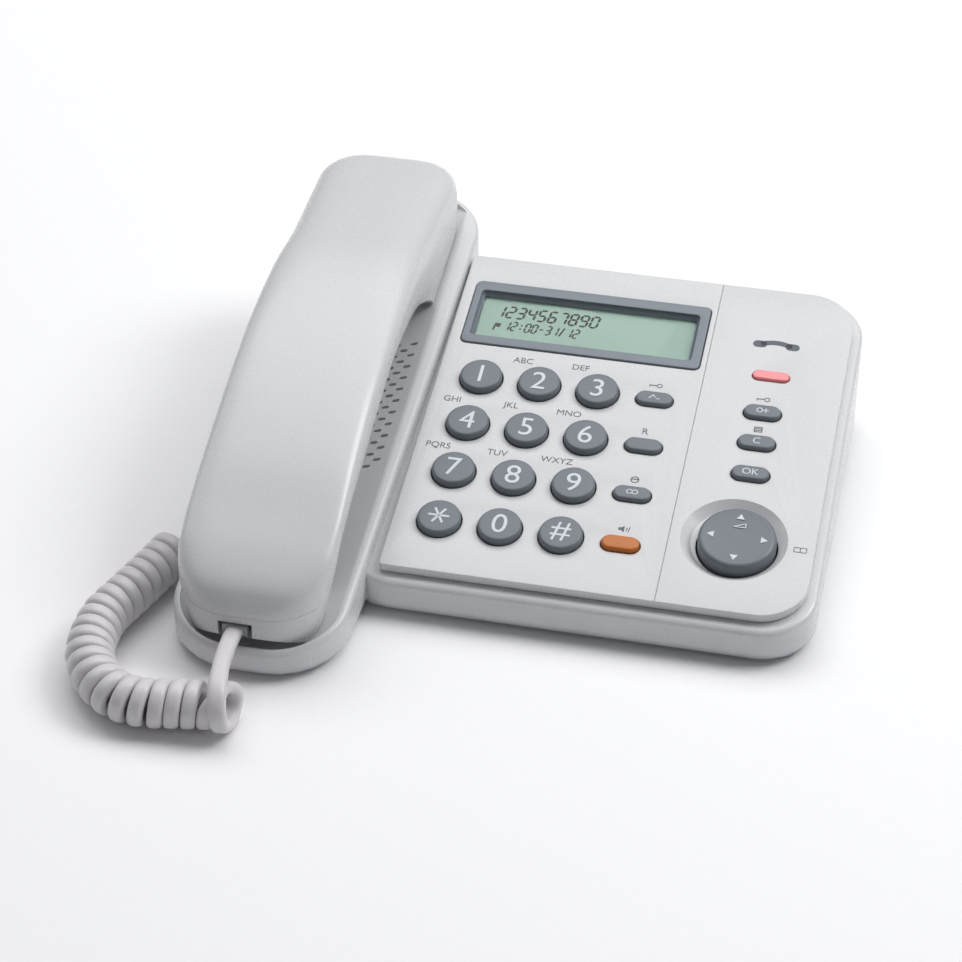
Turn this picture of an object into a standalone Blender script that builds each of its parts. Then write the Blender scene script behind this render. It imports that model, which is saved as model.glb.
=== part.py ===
"""Corded desk telephone: a wedge-shaped base with a keypad, and a curly-corded handset in its cradle.

World frame: X to the right, Y to the back, Z up, origin under the middle of the phone on the table.
Deck frame: the same X, S up the sloping deck from its front edge, W square to the deck.
Lengths are in metres.
"""
import math

import bmesh
import bpy
from mathutils import Matrix, Vector

MM = 0.001
GAP = 0.3 * MM

# Base, driving dimensions
WIDTH = 190.5 * MM
DEPTH = 204 * MM
DECK_ANGLE = math.radians(10.8)
DECK_FRONT_Y = -61 * MM
DECK_FRONT_Z = 16.8 * MM
DECK_LENGTH = 138.5 * MM
DECK_LEFT = -37.15 * MM
DECK_RIGHT = 91.95 * MM
DECK_SEAM = 47.45 * MM
BODY_STEP = 3.3 * MM
BODY_CORNER = 17 * MM
WALL = 2.2 * MM
BODY_TOP_W = -3.5 * MM
BODY_BOTTOM = 3.9 * MM
LEDGE_TOP_W = -6.0 * MM
FLOOR_LOW = 1.8 * MM
FLOOR_HIGH = 3.6 * MM

# Cradle and handset
CRADLE_X = -68.75 * MM
CRADLE_LEFT = -WIDTH / 2
CRADLE_RIGHT_FRONT = -41.15 * MM
CRADLE_RIGHT_BACK = -37.75 * MM
CRADLE_CORNER_FRONT = 22 * MM
CRADLE_CORNER_BACK = 20 * MM
RIM_W = 1.3 * MM
RIM_WIDTH = 2.0 * MM
RIM_ROUND = 1.6 * MM
TROUGH_RADIUS = 59.6 * MM
TROUGH_AXIS_W = 55.4 * MM
HANDSET_HALF_WIDTH = 24 * MM
HANDSET_FRONT = -38.2 * MM
HANDSET_BACK = 162.6 * MM
HANDSET_CORNER = 18 * MM
HANDSET_WALL = 2.2 * MM
BELLY_RADIUS = TROUGH_RADIUS - 0.5 * MM
# Seam between the two shells and lower end of the arch under the grip, along the deck: (S, W)
PARTING_LINE = ((-60, 10.5), (-26, 10.5), (-4, 17.6), (92, 17.6), (108, 12), (200, 12))
# Widest line of the sides, and how far they lean in below it: (S, value)
WAIST = ((-38.2, 8), (-30, 10.5), (-22.5, 15), (-13, 20), (0, 22.5), (10, 23.5), (25, 25), (40, 26.5),
         (55, 27.5), (68, 26.5), (80, 24.5), (92, 21.5), (104, 15), (112, 12), (162.6, 11))
UNDERCUT = ((-38.2, 0.15), (-25, 0.2), (-14, 0.31), (98, 0.31), (108, 0.05), (162.6, 0.05))
# Underside of the grip along the deck: (S, W)
GRIP_LINE = ((-15, -14), (-14.5, -4), (-11, 4), (-5, 10), (3, 13.6), (12, 15), (84, 15), (92, 14.2),
             (99, 12.2), (105, 9), (110, 4.5), (113.5, -1), (115.5, -7), (116, -14))
# Line under the chin that lifts it off the trough: (S, W)
CHIN = ((-24, -20), (-24, -6), (-29, -3.4), (-33, -0.9), (-36, 1.7), (-39, 4.6), (-60, 4.8), (-60, -20))
# Top line of the handset along the deck: (S, W)
HANDSET_TOP = ((-38.2, 12.5), (-35, 18), (-27, 21.8), (-12, 25.6), (8, 30.3), (34, 34), (62, 34.8),
               (92, 33), (116, 29.1), (142, 23.6), (153.4, 20.8), (159.2, 17.8), (162.6, 12.5))

# Keys
KEY_PITCH_X = 19 * MM
KEY_PITCH_S = 20.6 * MM
KEY_ONE = (-22.75 * MM, 82 * MM)
KEY_RADIUS = 6.8 * MM
KEY_TOP = 2.4 * MM
SIDE_KEY_X = 33.65 * MM
FUNCTION_X = 68.25 * MM
OVAL_X = 5.9 * MM
OVAL_S = 2.9 * MM
OVAL_TOP = 1.5 * MM
FLANGE = 0.9 * MM
FLANGE_LOW = -5.0 * MM
FLANGE_HIGH = -3.8 * MM
KEY_GAP = 0.35 * MM
NAV = (68.31 * MM, 27.1 * MM)
NAV_RADIUS = 12 * MM
MEMBRANE_TOP = -6.8 * MM
BOARD_TOP = -8.3 * MM
BOARD_LOW = -9.9 * MM

# Cord
CORD_DIAMETER = 4.8 * MM
COIL_RADIUS = 7.5 * MM
JACK_X = -71.35 * MM
JACK_W = 5.7 * MM
BASE_JACK = (CRADLE_LEFT, -48 * MM, 8.9 * MM)

# Battery bay, line inlet and hook switch
BAY_X = (17 * MM, 71 * MM)
BAY_Y = (18 * MM, 66 * MM)
BAY_TOP = 20.9 * MM
CELL_RADIUS = 7.1 * MM
CELL_LENGTH = 50.2 * MM
LINE_JACK = (-9.25 * MM, 78.3 * MM, 13 * MM)
HOOK_S = 122 * MM

for old in list(bpy.data.objects):
    bpy.data.objects.remove(old, do_unlink=True)

COLLECTION = bpy.data.collections.new("corded_telephone")
bpy.context.scene.collection.children.link(COLLECTION)

DECK = bpy.data.objects.new("deck_frame", None)
DECK.location = (0, DECK_FRONT_Y, DECK_FRONT_Z)
DECK.rotation_euler = (DECK_ANGLE, 0, 0)
COLLECTION.objects.link(DECK)
bpy.context.view_layer.update()
DECK_MATRIX = DECK.matrix_world.copy()


def srgb(code):
    """Turn an sRGB hex colour into linear values."""
    values = [int(code[i:i + 2], 16) / 255 for i in (0, 2, 4)]
    return [v / 12.92 if v < 0.04045 else ((v + 0.055) / 1.055) ** 2.4 for v in values]


def material(name, code, roughness, metallic=0.0):
    """Make one Principled material."""
    made = bpy.data.materials.new(name)
    made.use_nodes = True
    shader = made.node_tree.nodes["Principled BSDF"]
    shader.inputs["Base Color"].default_value = (*srgb(code), 1)
    shader.inputs["Roughness"].default_value = roughness
    shader.inputs["Metallic"].default_value = metallic
    return made


WHITE = material("white_abs", "E4E7E8", 0.35)
GREY = material("grey_key_plastic", "7D838A", 0.45)
ORANGE = material("orange_key_plastic", "CD7D3C", 0.45)
BEZEL = material("slate_bezel_plastic", "626973", 0.4)
CLEAR = material("clear_window", "DCE6E0", 0.05)
DISPLAY = material("display_glass", "A5BEAF", 0.2)
LAMP = material("red_lamp_lens", "FA8C91", 0.3)
RUBBER = material("dark_rubber", "3A3C3E", 0.8)
BOARD = material("circuit_board", "2F6B45", 0.5)
BLACK = material("black_plastic", "2B2D30", 0.5)
METAL = material("plated_steel", "B9BCBF", 0.3, 1.0)
CELL = material("cell_sleeve", "5A646E", 0.35)
CORD = material("cord_pvc", "DEDCDD", 0.45)
PLUG = material("clear_plug_plastic", "D5DADC", 0.15)


def evaluated_mesh(obj):
    """Return a new mesh of an object with its modifiers applied."""
    bpy.context.view_layer.update()
    return bpy.data.meshes.new_from_object(obj.evaluated_get(bpy.context.evaluated_depsgraph_get()))


def add_mesh(name, mesh, matrix=Matrix()):
    """Link a mesh as an object, placed by a matrix."""
    obj = bpy.data.objects.new(name, mesh)
    obj.matrix_world = matrix
    COLLECTION.objects.link(obj)
    return obj


def add_bmesh(name, bm, matrix=Matrix()):
    """Link a bmesh as an object and free it."""
    mesh = bpy.data.meshes.new(name)
    bm.to_mesh(mesh)
    bm.free()
    return add_mesh(name, mesh, matrix)


def curve_to_mesh(curve_obj, matrix=Matrix()):
    """Turn a curve object into a closed mesh object with welded caps, facing out."""
    name = curve_obj.name
    COLLECTION.objects.link(curve_obj)
    mesh = evaluated_mesh(curve_obj)
    bm = bmesh.new()
    bm.from_mesh(mesh)
    bm.transform(curve_obj.matrix_world)
    bmesh.ops.remove_doubles(bm, verts=bm.verts, dist=0.001 * MM)
    bmesh.ops.recalc_face_normals(bm, faces=bm.faces)
    bpy.data.objects.remove(curve_obj, do_unlink=True)
    return add_bmesh(name, bm, matrix)


def prism(name, outline, low, high, matrix=Matrix()):
    """Extrude a flat closed outline of (x, y) points between two heights."""
    curve = bpy.data.curves.new(name, "CURVE")
    curve.dimensions = "2D"
    curve.fill_mode = "BOTH"
    curve.extrude = (high - low) / 2
    spline = curve.splines.new("POLY")
    spline.points.add(len(outline) - 1)
    for point, (x, y) in zip(spline.points, outline):
        point.co = (x, y, 0, 1)
    spline.use_cyclic_u = True
    obj = bpy.data.objects.new(name, curve)
    obj.location.z = (low + high) / 2
    return curve_to_mesh(obj, matrix)


def side_prism(name, outline, left, right, matrix=Matrix()):
    """Extrude a side outline of (y, z) points between two X values."""
    turn = Matrix(((0, 0, 1, 0), (1, 0, 0, 0), (0, 1, 0, 0), (0, 0, 0, 1)))
    return prism(name, outline, left, right, matrix @ turn)


def box(name, low, high, matrix=Matrix()):
    """Make a box between two corners."""
    low = Vector(low)
    high = Vector(high)
    bm = bmesh.new()
    bmesh.ops.create_cube(bm, size=1)
    bmesh.ops.scale(bm, verts=bm.verts, vec=high - low)
    bmesh.ops.translate(bm, verts=bm.verts, vec=(high + low) / 2)
    return add_bmesh(name, bm, matrix)


def rod(name, centre, radius, low, high, matrix=Matrix(), sides=20, axis="Z"):
    """Make a round bar along an axis, between two positions on that axis."""
    turns = {"Z": Matrix(), "Y": Matrix.Rotation(-math.pi / 2, 4, "X"),
             "X": Matrix.Rotation(math.pi / 2, 4, "Y")}
    bm = bmesh.new()
    bmesh.ops.create_cone(bm, cap_ends=True, segments=sides, radius1=radius, radius2=radius, depth=high - low)
    bm.transform(turns[axis])
    place = Vector(centre)
    place["XYZ".index(axis)] = (low + high) / 2
    bmesh.ops.translate(bm, verts=bm.verts, vec=place)
    return add_bmesh(name, bm, matrix)


def combine(target, other, operation, solver="EXACT"):
    """Apply a boolean to the target and remove the other object."""
    modifier = target.modifiers.new("combine", "BOOLEAN")
    modifier.operation = operation
    modifier.solver = solver
    modifier.object = other
    mesh = evaluated_mesh(target)
    target.modifiers.clear()
    target.data = mesh
    bpy.data.objects.remove(other, do_unlink=True)
    return target


def cut(target, other, solver="EXACT"):
    """Take one shape out of another."""
    return combine(target, other, "DIFFERENCE", solver)


def join(target, other):
    """Join one shape to another."""
    return combine(target, other, "UNION")


def keep(target, other):
    """Keep only what two shapes share."""
    return combine(target, other, "INTERSECT")


def gather(parts):
    """Put separate shapes that do not touch into one object."""
    bm = bmesh.new()
    for part in parts:
        bm.from_mesh(part.data)
        bpy.data.objects.remove(part, do_unlink=True)
    return add_bmesh("gathered", bm)


def round_edges(obj, test, width, segments=3):
    """Bevel the edges whose both ends pass a test on their local position."""
    bm = bmesh.new()
    bm.from_mesh(obj.data)
    edges = [edge for edge in bm.edges
             if all(test(vert.co) for vert in edge.verts) and edge.calc_face_angle(0) > 0.4]
    bmesh.ops.bevel(bm, geom=edges, offset=width, segments=segments, profile=0.5, affect="EDGES")
    bm.to_mesh(obj.data)
    bm.free()
    return obj


def finish(obj, name, look, origin=(0, 0, 0), in_deck=False):
    """Name a part, give it its material, and move its origin, in the deck's frame if asked."""
    obj.name = name
    bm = bmesh.new()
    bm.from_mesh(obj.data)
    bm.transform(obj.matrix_world)
    if in_deck:
        bm.transform(DECK_MATRIX.inverted())
        obj.parent = DECK
    bmesh.ops.translate(bm, verts=bm.verts, vec=-Vector(origin))
    bmesh.ops.remove_doubles(bm, verts=bm.verts, dist=0.002 * MM)
    bmesh.ops.dissolve_degenerate(bm, edges=bm.edges, dist=0.002 * MM)
    mesh = bpy.data.meshes.new(name)
    bm.to_mesh(mesh)
    bm.free()
    obj.data = mesh
    obj.matrix_parent_inverse = Matrix()
    obj.location = origin
    obj.rotation_euler = (0, 0, 0)
    mesh.materials.append(look)
    mesh.shade_smooth()
    mesh.set_sharp_from_angle(angle=math.radians(35))
    return obj


def arc(centre, radius, start, end, steps):
    """Points along an arc, angles in degrees."""
    angles = [math.radians(start + (end - start) * i / steps) for i in range(steps + 1)]
    return [(centre[0] + radius * math.cos(a), centre[1] + radius * math.sin(a)) for a in angles]


def rounded(left, right, front, back, radius, steps=5):
    """Outline of a rounded rectangle."""
    corners = (((right - radius, front + radius), 270), ((right - radius, back - radius), 0),
               ((left + radius, back - radius), 90), ((left + radius, front + radius), 180))
    return [point for centre, start in corners for point in arc(centre, radius, start, start + 90, steps)]


def oval(centre, radius_x, radius_y, steps=20):
    """Outline of an oval."""
    angles = [2 * math.pi * i / steps for i in range(steps)]
    return [(centre[0] + radius_x * math.cos(a), centre[1] + radius_y * math.sin(a)) for a in angles]


def slot_outline(centre, half_length, half_width, steps=6):
    """Outline of a slot with round ends, along X."""
    x, y = centre
    straight = half_length - half_width
    return (arc((x + straight, y), half_width, -90, 90, steps)
            + arc((x - straight, y), half_width, 90, 270, steps))


def cradle_outline(inset=0.0):
    """Plan of the cradle: a rounded bar that widens a little towards the back on its right side."""
    front = -DEPTH / 2 + inset
    back = DEPTH / 2 - inset
    left = CRADLE_LEFT + inset
    right_front = CRADLE_RIGHT_FRONT - inset
    right_back = CRADLE_RIGHT_BACK - inset
    near = CRADLE_CORNER_FRONT - inset
    far = CRADLE_CORNER_BACK - inset
    return (arc((right_front - near, front + near), near, 270, 360, 6)
            + arc((right_back - far, back - far), far, 0, 90, 6)
            + arc((left + far, back - far), far, 90, 180, 6)
            + arc((left + near, front + near), near, 180, 270, 6))


def deck_outline(inset=0.0, left=-50 * MM):
    """Plan of the base under the deck."""
    return rounded(left, DECK_RIGHT + BODY_STEP - inset, DECK_FRONT_Y - BODY_STEP + inset,
                   DECK_FRONT_Y + DECK_LENGTH * math.cos(DECK_ANGLE) + BODY_STEP - inset,
                   BODY_CORNER - inset)


def above(w):
    """A block that covers everything above a height over the deck."""
    return box("above", (-0.2, -0.2, w), (0.2, 0.3, 0.2), DECK_MATRIX)


def trough_bar(radius, extra=0.0):
    """The long round bar whose lower side shapes the cradle's trough and the handset's belly."""
    bar = rod("bar", (CRADLE_X, 0, TROUGH_AXIS_W), radius, -60 * MM, 190 * MM + extra, DECK_MATRIX, 96, "Y")
    return bar


SCREWS = ((87.2 * MM, -56 * MM), (87.2 * MM, 70 * MM), (-83 * MM, -73 * MM), (-83 * MM, 82 * MM))


def make_upper_housing():
    """The main white shell: the body under the deck and the cradle with its trough."""
    shell = prism("upper", deck_outline(), BODY_BOTTOM, 60 * MM)
    cut(shell, above(BODY_TOP_W))
    cradle = prism("cradle", cradle_outline(), BODY_BOTTOM, 80 * MM)
    cut(cradle, above(RIM_W))
    to_deck = DECK_MATRIX.inverted()
    round_edges(cradle, lambda co: (to_deck @ co).z > RIM_W - 0.1 * MM, RIM_ROUND)
    join(shell, cradle)
    trough = prism("trough", cradle_outline(RIM_WIDTH), -20 * MM, 100 * MM)
    keep(trough, trough_bar(TROUGH_RADIUS))
    cut(shell, trough)
    hollow = prism("hollow", deck_outline(WALL, -46 * MM), -10 * MM, 60 * MM)
    cut(hollow, above(LEDGE_TOP_W))
    cradle_hollow = prism("cradle_hollow", cradle_outline(WALL), -10 * MM, 80 * MM)
    cut(cradle_hollow, above(RIM_W - WALL - 2.4 * MM))
    cut(cradle_hollow, trough_bar(TROUGH_RADIUS + WALL, 40 * MM))
    join(hollow, cradle_hollow)
    for x, y in SCREWS:
        cut(hollow, rod("boss", (x, y, 0), 3.4 * MM, -20 * MM, 90 * MM, sides=12))
    cut(shell, hollow, "MANIFOLD")
    well = rounded(-32.4 * MM, 85.2 * MM, 6 * MM, 130 * MM, 6 * MM, 3)
    cut(shell, prism("well", well, -12 * MM, 10 * MM, DECK_MATRIX))
    for x, y in SCREWS:
        cut(shell, rod("pilot", (x, y, 0), 1.3 * MM, 0, 8.2 * MM, sides=10))
    half_x = 3.5 * MM
    half_s = 2.4 * MM
    hook = rounded(CRADLE_X - half_x, CRADLE_X + half_x, HOOK_S - half_s, HOOK_S + half_s, 0.8 * MM, 2)
    cut(shell, prism("hook_slot", hook, -12 * MM, 10 * MM, DECK_MATRIX))
    for row in range(11):
        s = (92 - 4.9 * row) * MM
        for x, shift in ((-48.85 * MM, 0), (-52.85 * MM, -2.4 * MM)):
            outline = slot_outline((x, s + shift), 1.5 * MM, 0.5 * MM, 2)
            cut(shell, prism("slot", outline, -9 * MM, 10 * MM, DECK_MATRIX))
    x, y, z = LINE_JACK
    cut(shell, box("line_hole", (x - 6 * MM, y - 5 * MM, z - 5 * MM), (x + 6 * MM, y + 5 * MM, z + 5 * MM)))
    x, y, z = BASE_JACK
    cut(shell, box("cord_hole", (x - 5 * MM, y - 4.2 * MM, z - 3.1 * MM),
                   (x + 5 * MM, y + 4.2 * MM, z + 3.1 * MM)))
    finish(shell, "upper_housing", WHITE)


def make_bottom_cover():
    """The flat cover under the phone, with the battery bay's walls and its open slide way."""
    inset = 1.2 * MM
    plate = prism("bottom", deck_outline(inset), FLOOR_LOW, FLOOR_HIGH)
    join(plate, prism("bottom_cradle", cradle_outline(inset), FLOOR_LOW, FLOOR_HIGH))
    bay_low = (BAY_X[0] - 1.2 * MM, BAY_Y[0] - 1.2 * MM, FLOOR_LOW)
    bay_high = (BAY_X[1] + 1.2 * MM, BAY_Y[1] + 1.2 * MM, BAY_TOP)
    join(plate, box("bay", bay_low, bay_high))
    cut(plate, box("bay_room", (BAY_X[0], BAY_Y[0], 0), (BAY_X[1], BAY_Y[1], BAY_TOP - 1 * MM)))
    way_x = (BAY_X[0] - 2.3 * MM, BAY_X[1] + 2.3 * MM)
    cut(plate, box("way", (way_x[0], BAY_Y[0] - 2.3 * MM, 0), (way_x[1], 0.2, 3.0 * MM)))
    for x, y in SCREWS:
        cut(plate, rod("screw_hole", (x, y, 0), 1.5 * MM, 0, 6 * MM, sides=12))
    finish(plate, "bottom_cover", WHITE)
    door = box("door", (way_x[0] + GAP, BAY_Y[0] - 2 * MM, 1.4 * MM), (way_x[1] - GAP, 76.8 * MM, 2.7 * MM))
    for i in range(5):
        y = (67 + 1.6 * i) * MM
        cut(door, box("rib", (37 * MM, y, 1 * MM), (51 * MM, y + 0.7 * MM, 1.8 * MM)))
    finish(door, "battery_cover", WHITE, (44 * MM, 47 * MM, 2 * MM))
    for i in range(3):
        y = BAY_Y[0] + (8 + 16 * i) * MM
        z = 11.4 * MM
        sleeve = rod("sleeve", (0, y, z), CELL_RADIUS, 18.5 * MM, 18.5 * MM + CELL_LENGTH, sides=18, axis="X")
        tip = 18.5 * MM + CELL_LENGTH
        join(sleeve, rod("tip", (0, y, z), 2.6 * MM, tip - 0.5 * MM, tip + 1.1 * MM, sides=12, axis="X"))
        finish(sleeve, "battery_cell_%d" % (i + 1), CELL)


def make_covers():
    """The keypad cover, the function panel beside it, and what shows through them."""
    low = BODY_TOP_W + GAP
    corner = 15 * MM
    keypad = (arc((DECK_LEFT + 1.5 * MM, 1.5 * MM), 1.5 * MM, 180, 270, 2)
              + [(DECK_SEAM - GAP / 2, 0), (DECK_SEAM - GAP / 2, DECK_LENGTH),
                 (DECK_LEFT + 1.5 * MM, DECK_LENGTH), (DECK_LEFT, DECK_LENGTH - 1.5 * MM)])
    cover = prism("keypad", keypad, low, 0)
    round_edges(cover, lambda co: co.z > -0.01 * MM, 0.7 * MM, 2)
    outlines = [oval(place, KEY_RADIUS + KEY_GAP, KEY_RADIUS + KEY_GAP) for place in dial_places()]
    for row in range(4):
        place = (SIDE_KEY_X, KEY_ONE[1] - row * KEY_PITCH_S)
        outlines.append(key_outline(place, OVAL_X + KEY_GAP, OVAL_S + KEY_GAP, 16))
    frame = (-33.15 * MM, 45.35 * MM, 97.5 * MM, 126.2 * MM)
    opening = (frame[0] - GAP, frame[1] + GAP, frame[2] - GAP, frame[3] + GAP)
    outlines.append(rounded(*opening, 2.3 * MM, 3))
    cut(cover, gather([prism("hole", outline, -9 * MM, 9 * MM) for outline in outlines]))
    cover.matrix_world = DECK_MATRIX
    finish(cover, "keypad_cover", WHITE, in_deck=True)

    panel_outline = ([(DECK_SEAM + GAP / 2, 0)] + arc((DECK_RIGHT - corner, corner), corner, 270, 360, 6)
                     + arc((DECK_RIGHT - corner, DECK_LENGTH - corner), corner, 0, 90, 6)
                     + [(DECK_SEAM + GAP / 2, DECK_LENGTH)])
    panel = prism("panel", panel_outline, low, 0)
    round_edges(panel, lambda co: co.z > -0.01 * MM, 0.7 * MM, 2)
    bm = bmesh.new()
    bmesh.ops.create_cone(bm, cap_ends=True, segments=28, radius1=13 * MM, radius2=17.4 * MM, depth=2 * MM)
    bmesh.ops.translate(bm, verts=bm.verts, vec=(NAV[0], NAV[1], 0))
    cut(panel, add_bmesh("dish", bm))
    cut(panel, rod("nav_hole", (*NAV, 0), NAV_RADIUS + 0.6 * MM, -9 * MM, 9 * MM, sides=28))
    outlines = [key_outline((FUNCTION_X, s), OVAL_X + KEY_GAP, OVAL_S + KEY_GAP, 16) for s in function_rows()]
    lamp = (68.65 * MM, 98.6 * MM)
    outlines.append(slot_outline(lamp, 5.9 * MM + GAP, 2.0 * MM + GAP))
    cut(panel, gather([prism("hole", outline, -9 * MM, 9 * MM) for outline in outlines]))
    panel.matrix_world = DECK_MATRIX
    finish(panel, "function_panel", WHITE, in_deck=True)

    lens = prism("lens", slot_outline(lamp, 5.9 * MM, 2.0 * MM), -4.5 * MM, 0.8 * MM)
    round_edges(lens, lambda co: co.z > 0.7 * MM, 0.6 * MM, 2)
    lens.matrix_world = DECK_MATRIX
    finish(lens, "lamp_lens", LAMP, in_deck=True)

    bezel = prism("bezel", rounded(*frame, 2 * MM, 3), low, 0.5 * MM)
    round_edges(bezel, lambda co: co.z > 0.4 * MM, 0.4 * MM, 1)
    glass = (-29.85 * MM, 41.35 * MM, 102 * MM, 121.2 * MM)
    cut(bezel, prism("glass_hole", rounded(*glass, 1 * MM, 2), -9 * MM, 9 * MM))
    bezel.matrix_world = DECK_MATRIX
    finish(bezel, "display_bezel", BEZEL, in_deck=True)
    pane = box("pane", (glass[0] + GAP, glass[2] + GAP, -2.4 * MM),
               (glass[1] - GAP, glass[3] - GAP, -1.4 * MM))
    pane.matrix_world = DECK_MATRIX
    finish(pane, "display_window", CLEAR, in_deck=True)
    module = box("module", (-31 * MM, 99.5 * MM, -6.8 * MM), (43 * MM, 124 * MM, low - GAP))
    module.matrix_world = DECK_MATRIX
    finish(module, "display_module", DISPLAY, in_deck=True)


def dial_places():
    """Centres of the twelve dial keys, row by row from the back."""
    return [(KEY_ONE[0] + column * KEY_PITCH_X, KEY_ONE[1] - row * KEY_PITCH_S)
            for row in range(4) for column in range(3)]


def function_rows():
    """S positions of the three oval keys on the function panel."""
    return [82 * MM, 68.8 * MM, 55.5 * MM]


def key_outline(centre, radius_x, radius_s, steps):
    """Outline of a key: a circle, or a slot when it is longer than wide."""
    if radius_x == radius_s:
        return oval(centre, radius_x, radius_s, steps)
    return slot_outline(centre, radius_x, radius_s, steps // 2 - 1)


def make_button(name, place, radius_x, radius_s, top, look, steps):
    """A key: its domed cap through the cover and the flange that keeps it in."""
    cap = prism("cap", key_outline((0, 0), radius_x, radius_s, steps), FLANGE_LOW + 0.6 * MM, top)
    round_edges(cap, lambda co: co.z > top - 0.01 * MM, 1.0 * MM, 2)
    rim = key_outline((0, 0), radius_x + FLANGE, radius_s + FLANGE, steps)
    flange = prism("flange", rim, FLANGE_LOW, FLANGE_HIGH)
    join(cap, flange)
    cap.matrix_world = DECK_MATRIX @ Matrix.Translation((*place, 0))
    finish(cap, name, look, (*place, 0), in_deck=True)


def make_keys():
    """All the keys and the round navigation key with its pivot."""
    names = ("1", "2", "3", "4", "5", "6", "7", "8", "9", "star", "0", "hash")
    for name, place in zip(names, dial_places()):
        make_button("key_" + name, place, KEY_RADIUS, KEY_RADIUS, KEY_TOP, GREY, 20)
    side_names = ("mute_key", "recall_key", "redial_key", "speaker_key")
    for row, name in enumerate(side_names):
        look = ORANGE if name == "speaker_key" else GREY
        place = (SIDE_KEY_X, KEY_ONE[1] - row * KEY_PITCH_S)
        make_button(name, place, OVAL_X, OVAL_S, OVAL_TOP, look, 16)
    for name, s in zip(("store_key", "clear_key", "ok_key"), function_rows()):
        make_button(name, (FUNCTION_X, s), OVAL_X, OVAL_S, OVAL_TOP, GREY, 16)
    nav = rod("nav", (0, 0, 0), NAV_RADIUS, -3.3 * MM, 3.0 * MM, sides=28)
    round_edges(nav, lambda co: co.z > 2.9 * MM, 1.6 * MM, 2)
    cut(nav, rod("nav_socket", (0, 0, 0), 3.4 * MM, -9 * MM, -1.6 * MM, sides=16))
    nav.matrix_world = DECK_MATRIX @ Matrix.Translation((*NAV, 0))
    finish(nav, "navigation_key", GREY, (*NAV, -2.4 * MM), in_deck=True)
    pivot = rod("pivot", (0, 0, 0), 2.6 * MM, -6.2 * MM, -2.0 * MM, sides=16)
    pivot.matrix_world = DECK_MATRIX @ Matrix.Translation((*NAV, 0))
    finish(pivot, "navigation_pivot", BLACK, (*NAV, -2.4 * MM), in_deck=True)


def make_insides():
    """Circuit board, rubber key mat, loudspeaker, hook switch, jacks, feet and screws."""
    mat = box("mat", (-31.5 * MM, 9 * MM, MEMBRANE_TOP - 1.2 * MM),
              (84 * MM, 92.5 * MM, MEMBRANE_TOP), DECK_MATRIX)
    finish(mat, "key_mat", RUBBER, in_deck=True)
    board = box("board", (-31.5 * MM, 8 * MM, BOARD_LOW), (84 * MM, 128 * MM, BOARD_TOP), DECK_MATRIX)
    finish(board, "main_board", BOARD, in_deck=True)
    speaker_place = (-54 * MM, 66 * MM, 0)
    speaker = rod("speaker", speaker_place, 17 * MM, -11 * MM, -8 * MM, DECK_MATRIX, 28)
    join(speaker, rod("magnet", speaker_place, 8.5 * MM, -16 * MM, -10 * MM, DECK_MATRIX, 20))
    finish(speaker, "loudspeaker", METAL, in_deck=True)

    plunger_top = TROUGH_AXIS_W - TROUGH_RADIUS + 0.2 * MM
    hook = rounded(-3.2 * MM, 3.2 * MM, -2 * MM, 2 * MM, 0.7 * MM, 2)
    plunger = prism("plunger", hook, -10 * MM, plunger_top)
    join(plunger, rod("stem", (0, 0, 0), 1.3 * MM, -14.5 * MM, -9.5 * MM, sides=10))
    plunger.matrix_world = DECK_MATRIX @ Matrix.Translation((CRADLE_X, HOOK_S, 0))
    finish(plunger, "hook_plunger", BLACK, (CRADLE_X, HOOK_S, plunger_top), in_deck=True)
    switch = box("switch", (CRADLE_X - 6 * MM, HOOK_S - 4 * MM, -22 * MM),
                 (CRADLE_X + 6 * MM, HOOK_S + 4 * MM, -14.9 * MM), DECK_MATRIX)
    finish(switch, "hook_switch", BLACK, in_deck=True)
    make_spring()

    x, y, z = LINE_JACK
    line = box("line", (x - 5.7 * MM, y - 14 * MM, z - 4.7 * MM), (x + 5.7 * MM, y - 0.3 * MM, z + 4.7 * MM))
    cut(line, box("socket", (x - 4.8 * MM, y - 12 * MM, z - 3.4 * MM),
                  (x + 4.8 * MM, y + 1 * MM, z + 3.2 * MM)))
    finish(line, "line_jack", BLACK)
    x, y, z = BASE_JACK
    jack = box("jack", (x + 2.5 * MM, y - 5.7 * MM, z - 4.4 * MM), (x + 11 * MM, y + 5.7 * MM, z + 4.4 * MM))
    cut(jack, box("socket", (x + 1 * MM, y - 4.2 * MM, z - 3.1 * MM),
                  (x + 10 * MM, y + 4.2 * MM, z + 3.1 * MM)))
    finish(jack, "handset_cord_jack", BLACK)

    feet = {"foot_front_right": (77 * MM, -51 * MM), "foot_back_right": (83.2 * MM, 54 * MM),
            "foot_front_left": (CRADLE_X, -88 * MM), "foot_back_left": (CRADLE_X, 89 * MM)}
    for name, place in feet.items():
        foot = rod("foot", (*place, 0), 5.5 * MM, 0, FLOOR_LOW - GAP, sides=20)
        round_edges(foot, lambda co: co.z < 0.01 * MM, 0.4 * MM, 1)
        finish(foot, name, RUBBER)
    for i, place in enumerate(SCREWS):
        screw = rod("screw", (*place, 0), 2.6 * MM, 0.4 * MM, 1.5 * MM, sides=14)
        join(screw, rod("shank", (*place, 0), 1.0 * MM, 1.2 * MM, 7.6 * MM, sides=10))
        cut(screw, box("cross", (place[0] - 1.6 * MM, place[1] - 0.3 * MM, 0),
                       (place[0] + 1.6 * MM, place[1] + 0.3 * MM, 0.9 * MM)))
        cut(screw, box("cross", (place[0] - 0.3 * MM, place[1] - 1.6 * MM, 0),
                       (place[0] + 0.3 * MM, place[1] + 1.6 * MM, 0.9 * MM)))
        finish(screw, "case_screw_%d" % (i + 1), METAL)


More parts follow.
